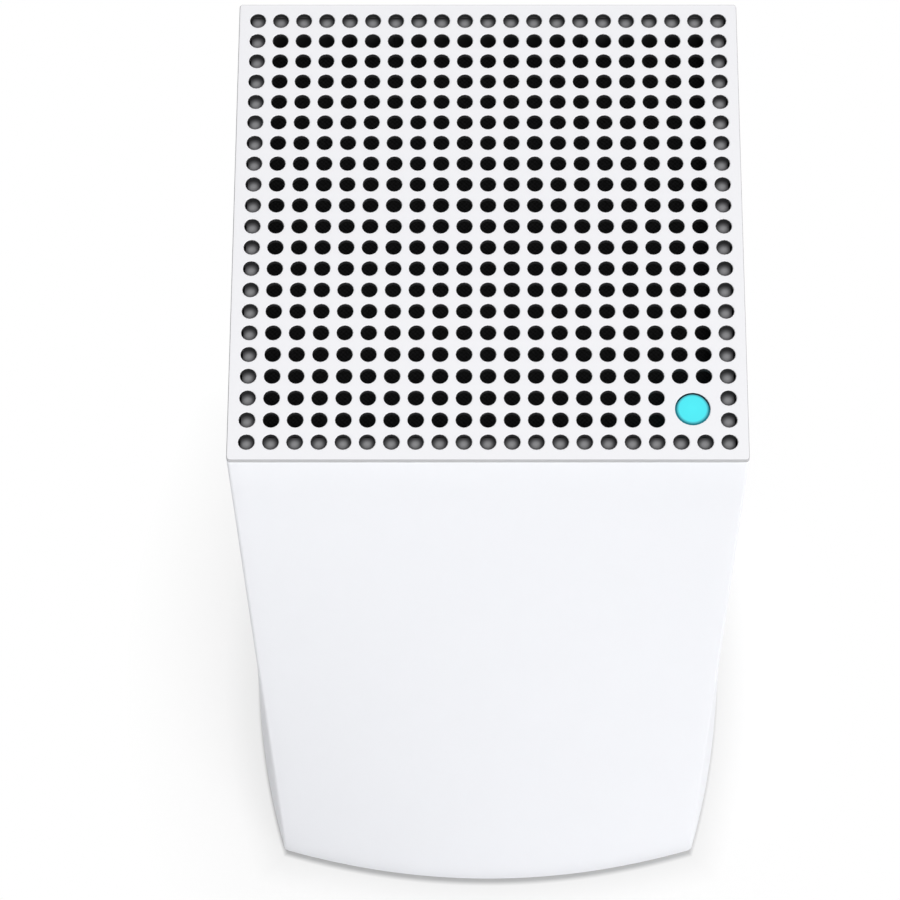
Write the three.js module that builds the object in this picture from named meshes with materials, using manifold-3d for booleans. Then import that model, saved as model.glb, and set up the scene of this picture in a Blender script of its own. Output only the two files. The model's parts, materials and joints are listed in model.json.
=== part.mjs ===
// A tower wireless router, in millimetres, +Z up, front towards -Y, standing on its feet at z = 0.
// Its tall shell is square at the top and swells to a bowed square at the base. A perforated cap with a
// round status light closes the top, and the sockets sit in a bay at the back, near the base.
import * as THREE from "three";
import { mergeVertices } from "three/addons/utils/BufferGeometryUtils.js";
import Module from "manifold-3d";

const wasm = await Module();
wasm.setup();

// ---------------------------------------------------------------- driving dimensions

const TOTAL_HEIGHT = 243.8;
const TOP_WIDTH = 99.5; // across the flats of the square top
const SIDE_BOW = 7.4; // how far each wall swells out at the base, at its middle
const CORNER_RADIUS = 0.7;
const SHELL_WALL = 2.2;
const GAP = 0.3; // clearance between two pieces that face each other
const SLOT_CLEARANCE = 0.3;

// Perforated cap
const CAP_THICKNESS = 1.2;
const CAP_BORDER = 1.45; // from the cap's edge to the vent grid
const HOLE_COUNT = 21; // holes along each side
const HOLE_RADIUS = 1.6;
const HOLE_SIDES = 6;
const LENS_RADIUS = 3.1;
const LENS_COLUMN = 8.5; // the lens centre, in hole pitches right of and in front of the middle
const LENS_FLANGE = { radius: 4.3, height: 1.6 };
const LENS_STEM = { radius: 2.5, length: 14 };
const LAMP_BOARD_HALF = 5.2;
const LAMP_SHELF_DROP = 15.9;
const SNAP_LEG = { width: 8, thickness: 0.9, length: 5.4, barb: 1.0, barbHeight: 2.0 };
const SNAP_LEG_PLACES = [-5, 5]; // in hole pitches along each side

// Frame and dust screen under the cap
const FRAME_HEIGHT = 6.3;
const FRAME_CLEARANCE = 0.35;
const SCREEN_THICKNESS = 0.8;

// Base
const FOOT_STEP = 1.4; // from the table to the underside of the base cover
const FOOT_RADIUS = 8.5;
const FOOT_RECESS = 0.6;
const FOOT_PLACE = 38; // feet and base screws, from the middle along X and Y
const BASE_THICKNESS = 1.8;
const BASE_INSET = 1.2; // the base cover's edge, in from the shell's skin
const RIM_HEIGHT = 3.8;
const RIM_WALL = 1.5;
const VENT = { width: 4.6, length: 22, pitch: 11, count: 5, near: 14 };

// Base screws
const SCREW = { head: 3.2, headHeight: 2.2, shank: 1.5, length: 6 };
const HEAD_ROOM = 0.8; // between a foot and the screw head above it
const CUP_RADIUS = 5;
const CUP_TOP_WALL = 1.5;
const BOSS_RADIUS = 4.5;

// Chassis
const CHASSIS_CLEARANCE = 0.65; // from the shell's inside to the side rails' outer faces
const RAIL_THICKNESS = 4;
const RAIL_DEPTH = 18;
const BEAM_HEIGHT = 3.5;
const BRIDGE_HEIGHT = 4;

// Circuit boards and heat sinks
const BOARD_THICKNESS = 1.6;
const SLOT_DEPTH = 2.3;
const MAIN_BOARD = { aboveBay: 2, belowRails: 9 };
const CAN_HEIGHT = 3;
const CAN_WALL = 0.4;
const PAD_THICKNESS = 1;
const FIN = { count: 11, pitch: 7.2, thickness: 1.6 };
const SINK_HALF = 38;
const FRONT_SINK = { base: 3.5, fins: 18.7, above: 12, below: 6 }; // in from the main board's ends
const REAR_SINK = { base: 3, fins: 14.2, above: 22, below: 11 };
const SINK_SCREW = { head: 2.4, headHeight: 2, shank: 1.3, x: 32.4, above: 30, below: 19 };

// Antennas
const CARRIER_CLEARANCE = 0.95;
const CARRIER_WALL = 2;
const CARRIER_HEIGHT = 30.2;
const CARRIER_BAR = 3;
const ANTENNA = { width: 34, height: 20, thickness: 0.8, rise: 6 };
const LEAD_RADIUS = 0.65;

// Socket bay at the back
const PANEL_FACE = 46; // y of the panel that the sockets come through
const PANEL_THICKNESS = 2.4;
const BAY_WALL = 2.2;
const BAY_RADIUS = 3;
const BAY_STEP = 1; // from the base cover's rim up to the bay
const BAY_MARGIN = { side: 3.4, top: 3.5, bottom: 7.2 }; // around the sockets
const FLANGE = { inset: 2.05, above: 3, thickness: 1.6 };
const TRAY_INSET = 0.4; // the bay's edge, in from the shell's skin
const IO_BOARD = { face: 26, margin: 4.6, drop: 1.4 };
const JACK = { width: 16, height: 13.4, between: 1.6, depth: 13.5 };
const JACK_COUNT = 4;
const ROW_PITCH = 16.2;
const POWER_SOCKET = { x: -27, width: 9.4, height: 11, bore: 3.1, pin: 1, depth: 10 };
const SWITCH = { x: -8, half: 8.9, halfHeight: 5.8, rim: 1.5, sill: 0.9, rimThickness: 1.2 };
const ROCKER = { half: 6.6, halfHeight: 4.2, tilt: 10, pivotDepth: 2.8, pin: 1.2, pinReach: 0.4 };
const ROCKER_POCKET = { half: 7.9, depth: 6.6, clearance: 0.4 };
const USB = { x: 13, width: 13.2, height: 6, wall: 0.5 };
const PAIR_BUTTON = { x: 28, radius: 3.5, proud: 1, travel: 0.8, flange: 4.5 };
const RESET_BUTTON = { y: -4, radius: 2.5, recess: 0.6, travel: 0.8, flange: 4 };
const BUTTON_BOARD = { half: 12, depth: 7, bottom: 12, post: 9.5 };
const TACT = { half: 3, height: 3.5, plunger: 1.7, plungerHeight: 1.3 };

// ---------------------------------------------------------------- values that follow from them

const TOP_HALF = TOP_WIDTH / 2;
const HOLE_PITCH = (TOP_WIDTH - 2 * CAP_BORDER) / HOLE_COUNT;
const BASE_BOTTOM = FOOT_STEP;
const BASE_TOP = BASE_BOTTOM + BASE_THICKNESS;
const SHELL_BOTTOM = BASE_TOP + GAP;
const CAP_BOTTOM = TOTAL_HEIGHT - CAP_THICKNESS;
const SHELL_TOP = CAP_BOTTOM - GAP;
const INNER_HALF = TOP_HALF - SHELL_WALL;
const LEG_INNER = HOLE_PITCH * (HOLE_COUNT - 2) / 2 - SNAP_LEG.thickness / 2;
const FRAME_OUTER = INNER_HALF - FRAME_CLEARANCE;
const FRAME_INNER = LEG_INNER + SNAP_LEG.thickness + FRAME_CLEARANCE;
const FRAME_BOTTOM = SHELL_TOP - FRAME_HEIGHT;
const SCREEN_BOTTOM = FRAME_BOTTOM - SCREEN_THICKNESS;
const RAIL_TOP = SCREEN_BOTTOM - CARRIER_HEIGHT;
const LENS_X = LENS_COLUMN * HOLE_PITCH;
const LENS_Y = -LENS_X;
const BOARD_HALF = BOARD_THICKNESS / 2;
const CAN_TOP = BOARD_HALF + CAN_HEIGHT;
const SINK_FACE = CAN_TOP + PAD_THICKNESS;
const HEAD_SEAT = BASE_BOTTOM + FOOT_RECESS + HEAD_ROOM + SCREW.headHeight;
const CUP_TOP = HEAD_SEAT + CUP_TOP_WALL;
const CHASSIS_HALF = INNER_HALF - CHASSIS_CLEARANCE;
const RAIL_INNER = CHASSIS_HALF - RAIL_THICKNESS;
const CARRIER_HALF = INNER_HALF - CARRIER_CLEARANCE;
const CARRIER_INNER = CARRIER_HALF - CARRIER_WALL;
const ANTENNA_BOTTOM = RAIL_TOP + ANTENNA.rise;
const RIM_TOP = BASE_TOP + RIM_HEIGHT;
const BEAM_BOTTOM = RIM_TOP + BAY_STEP;
const BEAM_TOP = BEAM_BOTTOM + BEAM_HEIGHT;
const JACK_PITCH = JACK.width + JACK.between;
const JACK_SPAN = JACK_COUNT * JACK_PITCH - JACK.between;
const LOWER_ROW_Z = RIM_TOP + BAY_STEP + BAY_WALL + BAY_MARGIN.bottom;
const JACK_Z = LOWER_ROW_Z + ROW_PITCH;
const BAY = {
  half: JACK_SPAN / 2 + BAY_MARGIN.side + BAY_WALL,
  bottom: RIM_TOP + BAY_STEP,
  top: JACK_Z + JACK.height / 2 + BAY_MARGIN.top + BAY_WALL,
};
const BOARD_BOTTOM = BAY.top + MAIN_BOARD.aboveBay;
const BOARD_TOP = RAIL_TOP - MAIN_BOARD.belowRails;
const JACK_FACE = PANEL_FACE - 0.1; // socket faces sit a hair behind the panel's face
const PANEL_BACK = PANEL_FACE - PANEL_THICKNESS;
const PIVOT_Y = PANEL_FACE - ROCKER.pivotDepth;
const LAMP_SHELF_TOP = SHELL_TOP - LAMP_SHELF_DROP;

// ---------------------------------------------------------------- finishes

const finish = (color, roughness, metalness = 0) =>
  new THREE.MeshStandardMaterial({ color, roughness, metalness });
const WHITE = finish(0xf1f2f5, 0.45);
const GREY = finish(0x8c8d90, 0.7);
const CHARCOAL = finish(0x2b2c2f, 0.7);
const BLACK = finish(0x161618, 0.5);
const RUBBER = finish(0x3a3b3d, 0.9);
const LENS = finish(0x38dcf2, 0.25);
const BOARD = finish(0x1e5a3a, 0.55);
const TIN = finish(0xc4c6c9, 0.35, 1);
const ALUMINIUM = finish(0xaeb1b5, 0.5, 1);
const PAD = finish(0x8fb3c9, 0.85);
const YELLOW = finish(0xd9b52f, 0.5);
const RED = finish(0xb3261e, 0.5);
const COPPER = finish(0xb87a3d, 0.4, 1);

// ---------------------------------------------------------------- helpers

// The solid that a closed three.js geometry bounds.
function solidOf(geometry) {
  const bare = geometry.index ? geometry.toNonIndexed() : geometry.clone();
  bare.deleteAttribute("normal");
  bare.deleteAttribute("uv");
  const merged = mergeVertices(bare, 1e-4);
  return new wasm.Manifold(new wasm.Mesh({
    numProp: 3,
    vertProperties: merged.attributes.position.array,
    triVerts: new Uint32Array(merged.index.array),
  }));
}

// A named mesh of a solid, or of a closed geometry.
function piece(name, shape, material) {
  let geometry = shape;
  if (!shape.isBufferGeometry) {
    const { vertProperties, triVerts } = shape.getMesh();
    geometry = new THREE.BufferGeometry();
    geometry.setAttribute("position", new THREE.BufferAttribute(vertProperties, 3));
    geometry.setIndex(new THREE.BufferAttribute(triVerts, 1));
    geometry.computeVertexNormals();
  }
  const mesh = new THREE.Mesh(geometry, material);
  mesh.name = name;
  return mesh;
}

const join = (...solids) => solids.flat().reduce((a, b) => a.add(b));
const cut = (solid, ...tools) => tools.flat().reduce((a, b) => a.subtract(b), solid);

// A box between two corners.
function block([x0, y0, z0], [x1, y1, z1]) {
  const box = new THREE.BoxGeometry(x1 - x0, y1 - y0, z1 - z0);
  box.translate((x0 + x1) / 2, (y0 + y1) / 2, (z0 + z1) / 2);
  return solidOf(box);
}

// A square ring between two heights.
function squareRing(outer, inner, z0, z1) {
  const ring = block([-outer, -outer, z0], [outer, outer, z1]);
  return ring.subtract(block([-inner, -inner, z0 - 1], [inner, inner, z1 + 1]));
}

// An upright cylinder at (x, y) between two heights.
function post(radius, x, y, z0, z1, sides = 16) {
  const cylinder = new THREE.CylinderGeometry(radius, radius, z1 - z0, sides);
  cylinder.rotateX(Math.PI / 2).translate(x, y, (z0 + z1) / 2);
  return solidOf(cylinder);
}

// A cylinder along Y at (x, z) between two depths.
function rod(radius, x, z, y0, y1, sides = 16) {
  const cylinder = new THREE.CylinderGeometry(radius, radius, y1 - y0, sides);
  cylinder.translate(x, (y0 + y1) / 2, z);
  return solidOf(cylinder);
}

// A rectangle with round corners, about its centre.
function roundedRectangle(halfWidth, halfHeight, radius) {
  const shape = new THREE.Shape();
  const [w, h] = [halfWidth - radius, halfHeight - radius];
  shape.absarc(w, h, radius, 0, Math.PI / 2);
  shape.absarc(-w, h, radius, Math.PI / 2, Math.PI);
  shape.absarc(-w, -h, radius, Math.PI, 1.5 * Math.PI);
  shape.absarc(w, -h, radius, 1.5 * Math.PI, 2 * Math.PI);
  return shape;
}

// The socket bay's rounded outline, grown by a margin and pushed from one depth to another.
function baySleeve(grow, y0, y1) {
  const { half, bottom, top } = BAY;
  const outline = roundedRectangle(half + grow, (top - bottom) / 2 + grow, BAY_RADIUS + grow);
  const sleeve = new THREE.ExtrudeGeometry(outline, {
    depth: y1 - y0, bevelEnabled: false, curveSegments: 3,
  });
  sleeve.rotateX(Math.PI / 2).translate(0, y1, (top + bottom) / 2);
  return solidOf(sleeve);
}

// How far the tower's walls swell out at a height: nothing at the top, SIDE_BOW at the shell's bottom.
const bowAt = (z) => SIDE_BOW * (TOTAL_HEIGHT - z) / (TOTAL_HEIGHT - SHELL_BOTTOM);

// A slice of the tower between two heights, its walls set in from the outer skin.
function towerSlice(inset, z0, z1, wallSegments = 14) {
  const half = TOP_HALF - inset;
  const radius = Math.max(CORNER_RADIUS - inset, 0.4);
  const flat = 2 * (half - radius);
  const outline = new THREE.Shape();
  for (let side = 0; side < 4; side++) {
    const turn = side * Math.PI / 2;
    const [c, s] = [Math.cos(turn), Math.sin(turn)];
    for (let i = 0; i <= wallSegments; i++) {
      const along = flat * (i / wallSegments - 0.5);
      const [x, y] = [along * c + half * s, along * s - half * c];
      if (side + i) outline.lineTo(x, y);
      else outline.moveTo(x, y);
    }
    const [cx, cy] = [(half - radius) * (c + s), (half - radius) * (s - c)];
    outline.absarc(cx, cy, radius, turn - Math.PI / 2, turn);
  }
  const slice = new THREE.ExtrudeGeometry(outline, {
    depth: z1 - z0, bevelEnabled: false, curveSegments: 2,
  });
  slice.translate(0, 0, z0);
  const points = slice.attributes.position;
  for (let i = 0; i < points.count; i++) {
    const [x, y, bow] = [points.getX(i), points.getY(i), bowAt(points.getZ(i))];
    points.setX(i, x + Math.sign(x) * bow * (1 - (y / half) ** 2));
    points.setY(i, y + Math.sign(y) * bow * (1 - (x / half) ** 2));
  }
  return solidOf(slice);
}

const corners = [[-1, -1], [1, -1], [-1, 1], [1, 1]];

// ---------------------------------------------------------------- casing

function outerShell() {
  const tube = towerSlice(0, SHELL_BOTTOM, SHELL_TOP)
    .subtract(towerSlice(SHELL_WALL, SHELL_BOTTOM - 1, SHELL_TOP + 1));
  const window = baySleeve(GAP, PANEL_BACK, TOP_HALF + SIDE_BOW + 5);
  return piece("outer_shell", tube.subtract(window), WHITE);
}

// The cap is a thin plate with a square grid of vents, whose outermost row is closed by the frame below.
// Eight legs hang between the last two rows of vents and snap into that frame.
function topGrille() {
  const plate = roundedRectangle(TOP_HALF, TOP_HALF, CORNER_RADIUS);
  const middle = (HOLE_COUNT - 1) / 2;
  const sameArea = Math.sqrt(2 * Math.PI / (HOLE_SIDES * Math.sin(2 * Math.PI / HOLE_SIDES)));
  const vent = (x, y, radius, sides) => {
    const corner = (_, i) => new THREE.Vector2(
      x + radius * Math.cos(2 * Math.PI * i / sides),
      y + radius * Math.sin(2 * Math.PI * i / sides),
    );
    plate.holes.push(new THREE.Path().setFromPoints(Array.from({ length: sides }, corner)));
  };
  for (let i = 0; i < HOLE_COUNT; i++) {
    for (let j = 0; j < HOLE_COUNT; j++) {
      const [x, y] = [(i - middle) * HOLE_PITCH, (j - middle) * HOLE_PITCH];
      const underLens = Math.hypot(x - LENS_X, y - LENS_Y) < HOLE_PITCH;
      if (!underLens) vent(x, y, HOLE_RADIUS * sameArea, HOLE_SIDES);
    }
  }
  vent(LENS_X, LENS_Y, LENS_RADIUS + GAP, 16);
  const sheet = new THREE.ExtrudeGeometry(plate, {
    depth: CAP_THICKNESS, bevelEnabled: false, curveSegments: 2,
  });
  sheet.translate(0, 0, CAP_BOTTOM);

  const legs = [];
  const { width, thickness, length, barb, barbHeight } = SNAP_LEG;
  for (const turn of [0, 90, 180, 270]) {
    for (const place of SNAP_LEG_PLACES) {
      const y = place * HOLE_PITCH;
      const foot = CAP_BOTTOM - length;
      const outer = LEG_INNER + thickness;
      legs.push(join(
        block([LEG_INNER, y - width / 2, foot], [outer, y + width / 2, CAP_BOTTOM + CAP_THICKNESS / 2]),
        block([outer - 0.2, y - width / 2, foot], [outer + barb, y + width / 2, foot + barbHeight]),
      ).rotate([0, 0, turn]));
    }
  }
  return piece("top_grille", join(solidOf(sheet), legs), WHITE);
}

// The frame closes the outermost vents from below and takes the cap's snap legs.
function grilleFrame() {
  const ring = squareRing(FRAME_OUTER, FRAME_INNER, FRAME_BOTTOM, SHELL_TOP);
  const { width, thickness, length, barb, barbHeight } = SNAP_LEG;
  const foot = CAP_BOTTOM - length;
  const outer = LEG_INNER + thickness;
  const pockets = [];
  for (const turn of [0, 90, 180, 270]) {
    for (const place of SNAP_LEG_PLACES) {
      const y = place * HOLE_PITCH;
      pockets.push(block(
        [LEG_INNER - 1, y - width / 2 - GAP, foot - GAP],
        [outer + barb + GAP, y + width / 2 + GAP, foot + barbHeight + GAP],
      ).rotate([0, 0, turn]));
    }
  }
  return piece("grille_frame", cut(ring, pockets), GREY);
}

// A fine dark mesh, clamped between the frame and the antenna carrier, with a hole for the light pipe.
function dustScreen() {
  const half = CARRIER_HALF - GAP;
  const sheet = block([-half, -half, SCREEN_BOTTOM], [half, half, FRAME_BOTTOM]);
  const hole = post(LENS_STEM.radius + GAP, LENS_X, LENS_Y, SCREEN_BOTTOM - 1, FRAME_BOTTOM + 1, 12);
  return piece("dust_screen", sheet.subtract(hole), BLACK);
}

// ---------------------------------------------------------------- status light

function lightPipe() {
  const { radius, height } = LENS_FLANGE;
  const flangeTop = CAP_BOTTOM - GAP;
  const stemEnd = TOTAL_HEIGHT - LENS_STEM.length;
  return piece("light_pipe", join(
    post(LENS_RADIUS, LENS_X, LENS_Y, flangeTop - height / 2, TOTAL_HEIGHT, 20),
    post(radius, LENS_X, LENS_Y, flangeTop - height, flangeTop, 20),
    post(LENS_STEM.radius, LENS_X, LENS_Y, stemEnd, flangeTop - height / 2, 12),
  ), LENS);
}

function lampPieces() {
  const boardTop = LAMP_SHELF_TOP + BOARD_THICKNESS;
  const outer = CARRIER_INNER - GAP;
  const board = block(
    [LENS_X - LAMP_BOARD_HALF, -outer, LAMP_SHELF_TOP],
    [outer, LENS_Y + LAMP_BOARD_HALF, boardTop],
  );
  const lamp = block([LENS_X - 1.8, LENS_Y - 1.8, boardTop], [LENS_X + 1.8, LENS_Y + 1.8, boardTop + 1.4]);
  const edge = LENS_X - LAMP_BOARD_HALF;
  const wire = lead("lamp_lead", [
    [edge + 1, LENS_Y + 2, boardTop + GAP + LEAD_RADIUS],
    [edge - 3.4, LENS_Y + 3, boardTop + 0.2],
    [edge - 5, LENS_Y + 4, boardTop - 8],
    [edge - 5, LENS_Y + 5, RAIL_TOP + 2],
    [edge - 6, -22, BOARD_TOP + 2.5],
    [edge - 7, -6, BOARD_TOP - 2],
    [edge - 7, -BOARD_HALF - GAP, BOARD_TOP - 3],
  ], BLACK);
  return [piece("lamp_board", board, BOARD), piece("status_lamp", lamp, WHITE), wire];
}

// ---------------------------------------------------------------- base

function baseCover() {
  const plate = towerSlice(BASE_INSET, BASE_BOTTOM, BASE_TOP);
  const rim = towerSlice(SHELL_WALL + GAP, BASE_TOP - 0.5, RIM_TOP)
    .subtract(towerSlice(SHELL_WALL + GAP + RIM_WALL, BASE_BOTTOM - 1, RIM_TOP + 1));
  const cups = corners.map(([i, j]) =>
    post(CUP_RADIUS, i * FOOT_PLACE, j * FOOT_PLACE, BASE_BOTTOM + 1, CUP_TOP));
  const supports = [-1, 1].map((i) =>
    post(2, i * BUTTON_BOARD.post, RESET_BUTTON.y, BASE_BOTTOM + 1, BUTTON_BOARD.bottom, 8));
  const tools = corners.flatMap(([i, j]) => [
    post(FOOT_RADIUS + GAP, i * FOOT_PLACE, j * FOOT_PLACE, BASE_BOTTOM - 1, BASE_BOTTOM + FOOT_RECESS, 20),
    post(SCREW.head + GAP, i * FOOT_PLACE, j * FOOT_PLACE, BASE_BOTTOM - 1, HEAD_SEAT, 12),
    post(SCREW.shank + GAP, i * FOOT_PLACE, j * FOOT_PLACE, BASE_BOTTOM - 1, CUP_TOP + 1, 12),
  ]);
  for (const bank of [-1, 1]) {
    for (let i = 0; i < VENT.count; i++) {
      const x = (i - (VENT.count - 1) / 2) * VENT.pitch;
      const ends = [bank * VENT.near, bank * (VENT.near + VENT.length)].sort((a, b) => a - b);
      tools.push(block(
        [x - VENT.width / 2, ends[0], BASE_BOTTOM - 1],
        [x + VENT.width / 2, ends[1], BASE_TOP + 1],
      ));
    }
  }
  tools.push(post(RESET_BUTTON.radius + GAP, 0, RESET_BUTTON.y, BASE_BOTTOM - 1, BASE_TOP + 1));
  return piece("base_cover", cut(join(plate, rim, cups, supports), tools), WHITE);
}

function feetAndScrews() {
  return corners.flatMap(([i, j], n) => {
    const [x, y] = [i * FOOT_PLACE, j * FOOT_PLACE];
    const disc = post(FOOT_RADIUS, 0, 0, 0, FOOT_STEP + FOOT_RECESS, 20);
    const pad = piece(`rubber_foot_${n + 1}`, disc, RUBBER);
    const screw = piece(`base_screw_${n + 1}`, join(
      post(SCREW.head, 0, 0, -SCREW.headHeight, 0, 12),
      post(SCREW.shank, 0, 0, -SCREW.headHeight / 2, SCREW.length, 12),
    ), TIN);
    pad.position.set(x, y, 0);
    screw.position.set(x, y, HEAD_SEAT);
    return [pad, screw];
  });
}

// ---------------------------------------------------------------- chassis and antennas

// Two side rails with slots for the main board stand on a low frame, and a bridge joins their tops.
function chassisFrame() {
  const boardBack = IO_BOARD.face - BOARD_THICKNESS - GAP;
  const sides = [-1, 1].flatMap((i) => {
    const [x0, x1] = [i * RAIL_INNER, i * CHASSIS_HALF].sort((a, b) => a - b);
    const [p0, p1] = [i * (JACK_SPAN / 2), i * (RAIL_INNER + 1)].sort((a, b) => a - b);
    return [
      block([x0, -RAIL_DEPTH / 2, BEAM_BOTTOM], [x1, RAIL_DEPTH / 2, RAIL_TOP]),
      block([x0, -CHASSIS_HALF, BEAM_BOTTOM], [x1, PANEL_BACK - GAP, BEAM_TOP]),
      block([p0, boardBack - RAIL_THICKNESS, BEAM_BOTTOM], [p1, boardBack, BAY.top]),
    ];
  });
  const across = [
    block([-CHASSIS_HALF, -CHASSIS_HALF, BEAM_BOTTOM],
      [CHASSIS_HALF, -CHASSIS_HALF + RAIL_THICKNESS, BEAM_TOP]),
    block([-RAIL_INNER - 1, boardBack - 2 * RAIL_THICKNESS, BEAM_BOTTOM],
      [RAIL_INNER + 1, boardBack - RAIL_THICKNESS, BEAM_TOP]),
    block([-CHASSIS_HALF, -RAIL_DEPTH / 2, RAIL_TOP - BRIDGE_HEIGHT],
      [CHASSIS_HALF, RAIL_DEPTH / 2, RAIL_TOP]),
  ];
  const bosses = corners.map(([i, j]) =>
    post(BOSS_RADIUS, i * FOOT_PLACE, j * FOOT_PLACE, CUP_TOP, BEAM_TOP));
  const ties = corners.map(([i, j]) => {
    const [x0, x1] = [i * FOOT_PLACE, i * (RAIL_INNER + 1)].sort((a, b) => a - b);
    const y = j * FOOT_PLACE;
    return block([x0, y - 1.5, BEAM_BOTTOM], [x1, y + 1.5, BEAM_TOP]);
  });
  const slotEnd = RAIL_INNER + SLOT_DEPTH;
  const slotHalf = BOARD_HALF + SLOT_CLEARANCE;
  const slot = block([-slotEnd, -slotHalf, BOARD_BOTTOM], [slotEnd, slotHalf, RAIL_TOP + 1]);
  const pilots = corners.map(([i, j]) =>
    post(SCREW.shank + GAP, i * FOOT_PLACE, j * FOOT_PLACE, CUP_TOP - 1, BEAM_TOP + 1, 12));
  return piece("chassis_frame", cut(join(sides, across, bosses, ties), slot, pilots), CHARCOAL);
}

// Where each antenna stands: the wall that it faces, as a turn about Z, and its lead's place along it.
const ANTENNA_PLACES = [
  { turn: 0, side: -13 },
  { turn: 90, side: 13 },
  { turn: 180, side: 13 },
  { turn: 270, side: -13 },
];

// A square tray around the top of the chassis, with a shelf under each antenna and one for the lamp board.
function antennaCarrier() {
  const ring = squareRing(CARRIER_HALF, CARRIER_INNER, RAIL_TOP, SCREEN_BOTTOM);
  const bars = [
    block([-CARRIER_HALF, -5, RAIL_TOP], [CARRIER_HALF, 5, RAIL_TOP + CARRIER_BAR]),
    block([-5, -CARRIER_HALF, RAIL_TOP], [5, CARRIER_HALF, RAIL_TOP + CARRIER_BAR]),
  ];
  const shelves = ANTENNA_PLACES.map(({ turn }) =>
    block([-10, -CARRIER_INNER - 0.5, ANTENNA_BOTTOM - 1.6],
      [10, -CARRIER_INNER + 2.2, ANTENNA_BOTTOM]).rotate([0, 0, turn]));
  const lampShelf = block([LENS_X - 8, -CARRIER_INNER - 0.5, LAMP_SHELF_TOP - 2],
    [CARRIER_INNER + 0.5, LENS_Y + 8, LAMP_SHELF_TOP]);
  return piece("antenna_carrier", join(ring, bars, shelves, lampShelf), CHARCOAL);
}

// A round lead whose line runs smoothly through the given points.
function lead(name, points, material) {
  const section = new THREE.Shape();
  for (let i = 0; i < 6; i++) {
    const [x, y] = [LEAD_RADIUS * Math.cos(i * Math.PI / 3), LEAD_RADIUS * Math.sin(i * Math.PI / 3)];
    if (i) section.lineTo(x, y);
    else section.moveTo(x, y);
  }
  section.closePath();
  const route = new THREE.CatmullRomCurve3(points.map((p) => new THREE.Vector3(...p)));
  const tube = new THREE.ExtrudeGeometry(section, {
    steps: 14, bevelEnabled: false, extrudePath: route,
  });
  return piece(name, tube, material);
}

// Each antenna is a small board on its shelf, with a lead down to the top edge of the main board.
function antennas() {
  const face = CARRIER_INNER - GAP - ANTENNA.thickness;
  const start = face - GAP - LEAD_RADIUS;
  const socketZ = BOARD_TOP - 3;
  return ANTENNA_PLACES.flatMap(({ turn, side }, n) => {
    const board = piece(`antenna_${n + 1}`, block(
      [-ANTENNA.width / 2, -face - ANTENNA.thickness, ANTENNA_BOTTOM],
      [ANTENNA.width / 2, -face, ANTENNA_BOTTOM + ANTENNA.height],
    ), COPPER);
    board.rotation.z = turn * Math.PI / 180;
    const place = (u, v, z) => {
      const point = new THREE.Vector3(u, v, z);
      return point.applyAxisAngle(new THREE.Vector3(0, 0, 1), board.rotation.z).toArray();
    };
    const outer = [place(side, -start, ANTENNA_BOTTOM + 4), place(side, -start + 1, ANTENNA_BOTTOM - 5)];
    const [x, y] = outer[1];
    const facing = Math.sign(y);
    const landing = [
      [x * 0.85, facing * Math.min(Math.abs(y), 26), socketZ + 6],
      [x * 0.78, facing * 6, socketZ + 1],
      [x * 0.76, facing * (BOARD_HALF + GAP), socketZ],
    ];
    return [board, lead(`antenna_lead_${n + 1}`, [...outer, ...landing], BLACK)];
  });
}

// ---------------------------------------------------------------- boards and cooling

const CANS = [
  { side: -1, x: -18, z: BOARD_TOP - 46, half: 17, halfHeight: 17 },
  { side: -1, x: 18, z: BOARD_TOP - 46, half: 17, halfHeight: 17 },
  { side: -1, x: 0, z: BOARD_BOTTOM + 50, half: 22, halfHeight: 15 },
  { side: 1, x: 0, z: BOARD_BOTTOM + 77, half: 20, halfHeight: 20 },
];

const SCREW_PLACES = [
  [-SINK_SCREW.x, BOARD_BOTTOM + SINK_SCREW.above],
  [SINK_SCREW.x, BOARD_BOTTOM + SINK_SCREW.above],
  [-SINK_SCREW.x, BOARD_TOP - SINK_SCREW.below],
  [SINK_SCREW.x, BOARD_TOP - SINK_SCREW.below],
];

function mainBoard() {
  const half = RAIL_INNER + SLOT_DEPTH - SLOT_CLEARANCE;
  const board = block([-half, -BOARD_HALF, BOARD_BOTTOM], [half, BOARD_HALF, BOARD_TOP]);
  const holes = SCREW_PLACES.map(([x, z]) => rod(SINK_SCREW.shank + GAP, x, z, -5, 5, 8));
  return piece("main_board", cut(board, holes), BOARD);
}

// A folded tin lid over a group of chips, with a soft pad between it and the heat sink.
function cansAndPads() {
  return CANS.flatMap(({ side, x, z, half, halfHeight }, n) => {
    const lid = (inset, near, far) => {
      const [y0, y1] = [side * near, side * far].sort((a, b) => a - b);
      const [w, h] = [half - inset, halfHeight - inset];
      return block([x - w, y0, z - h], [x + w, y1, z + h]);
    };
    const can = lid(0, BOARD_HALF, CAN_TOP).subtract(lid(CAN_WALL, 0, CAN_TOP - CAN_WALL));
    return [
      piece(`shield_can_${n + 1}`, can, TIN),
      piece(`thermal_pad_${n + 1}`, lid(2, CAN_TOP, SINK_FACE), PAD),
    ];
  });
}

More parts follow.
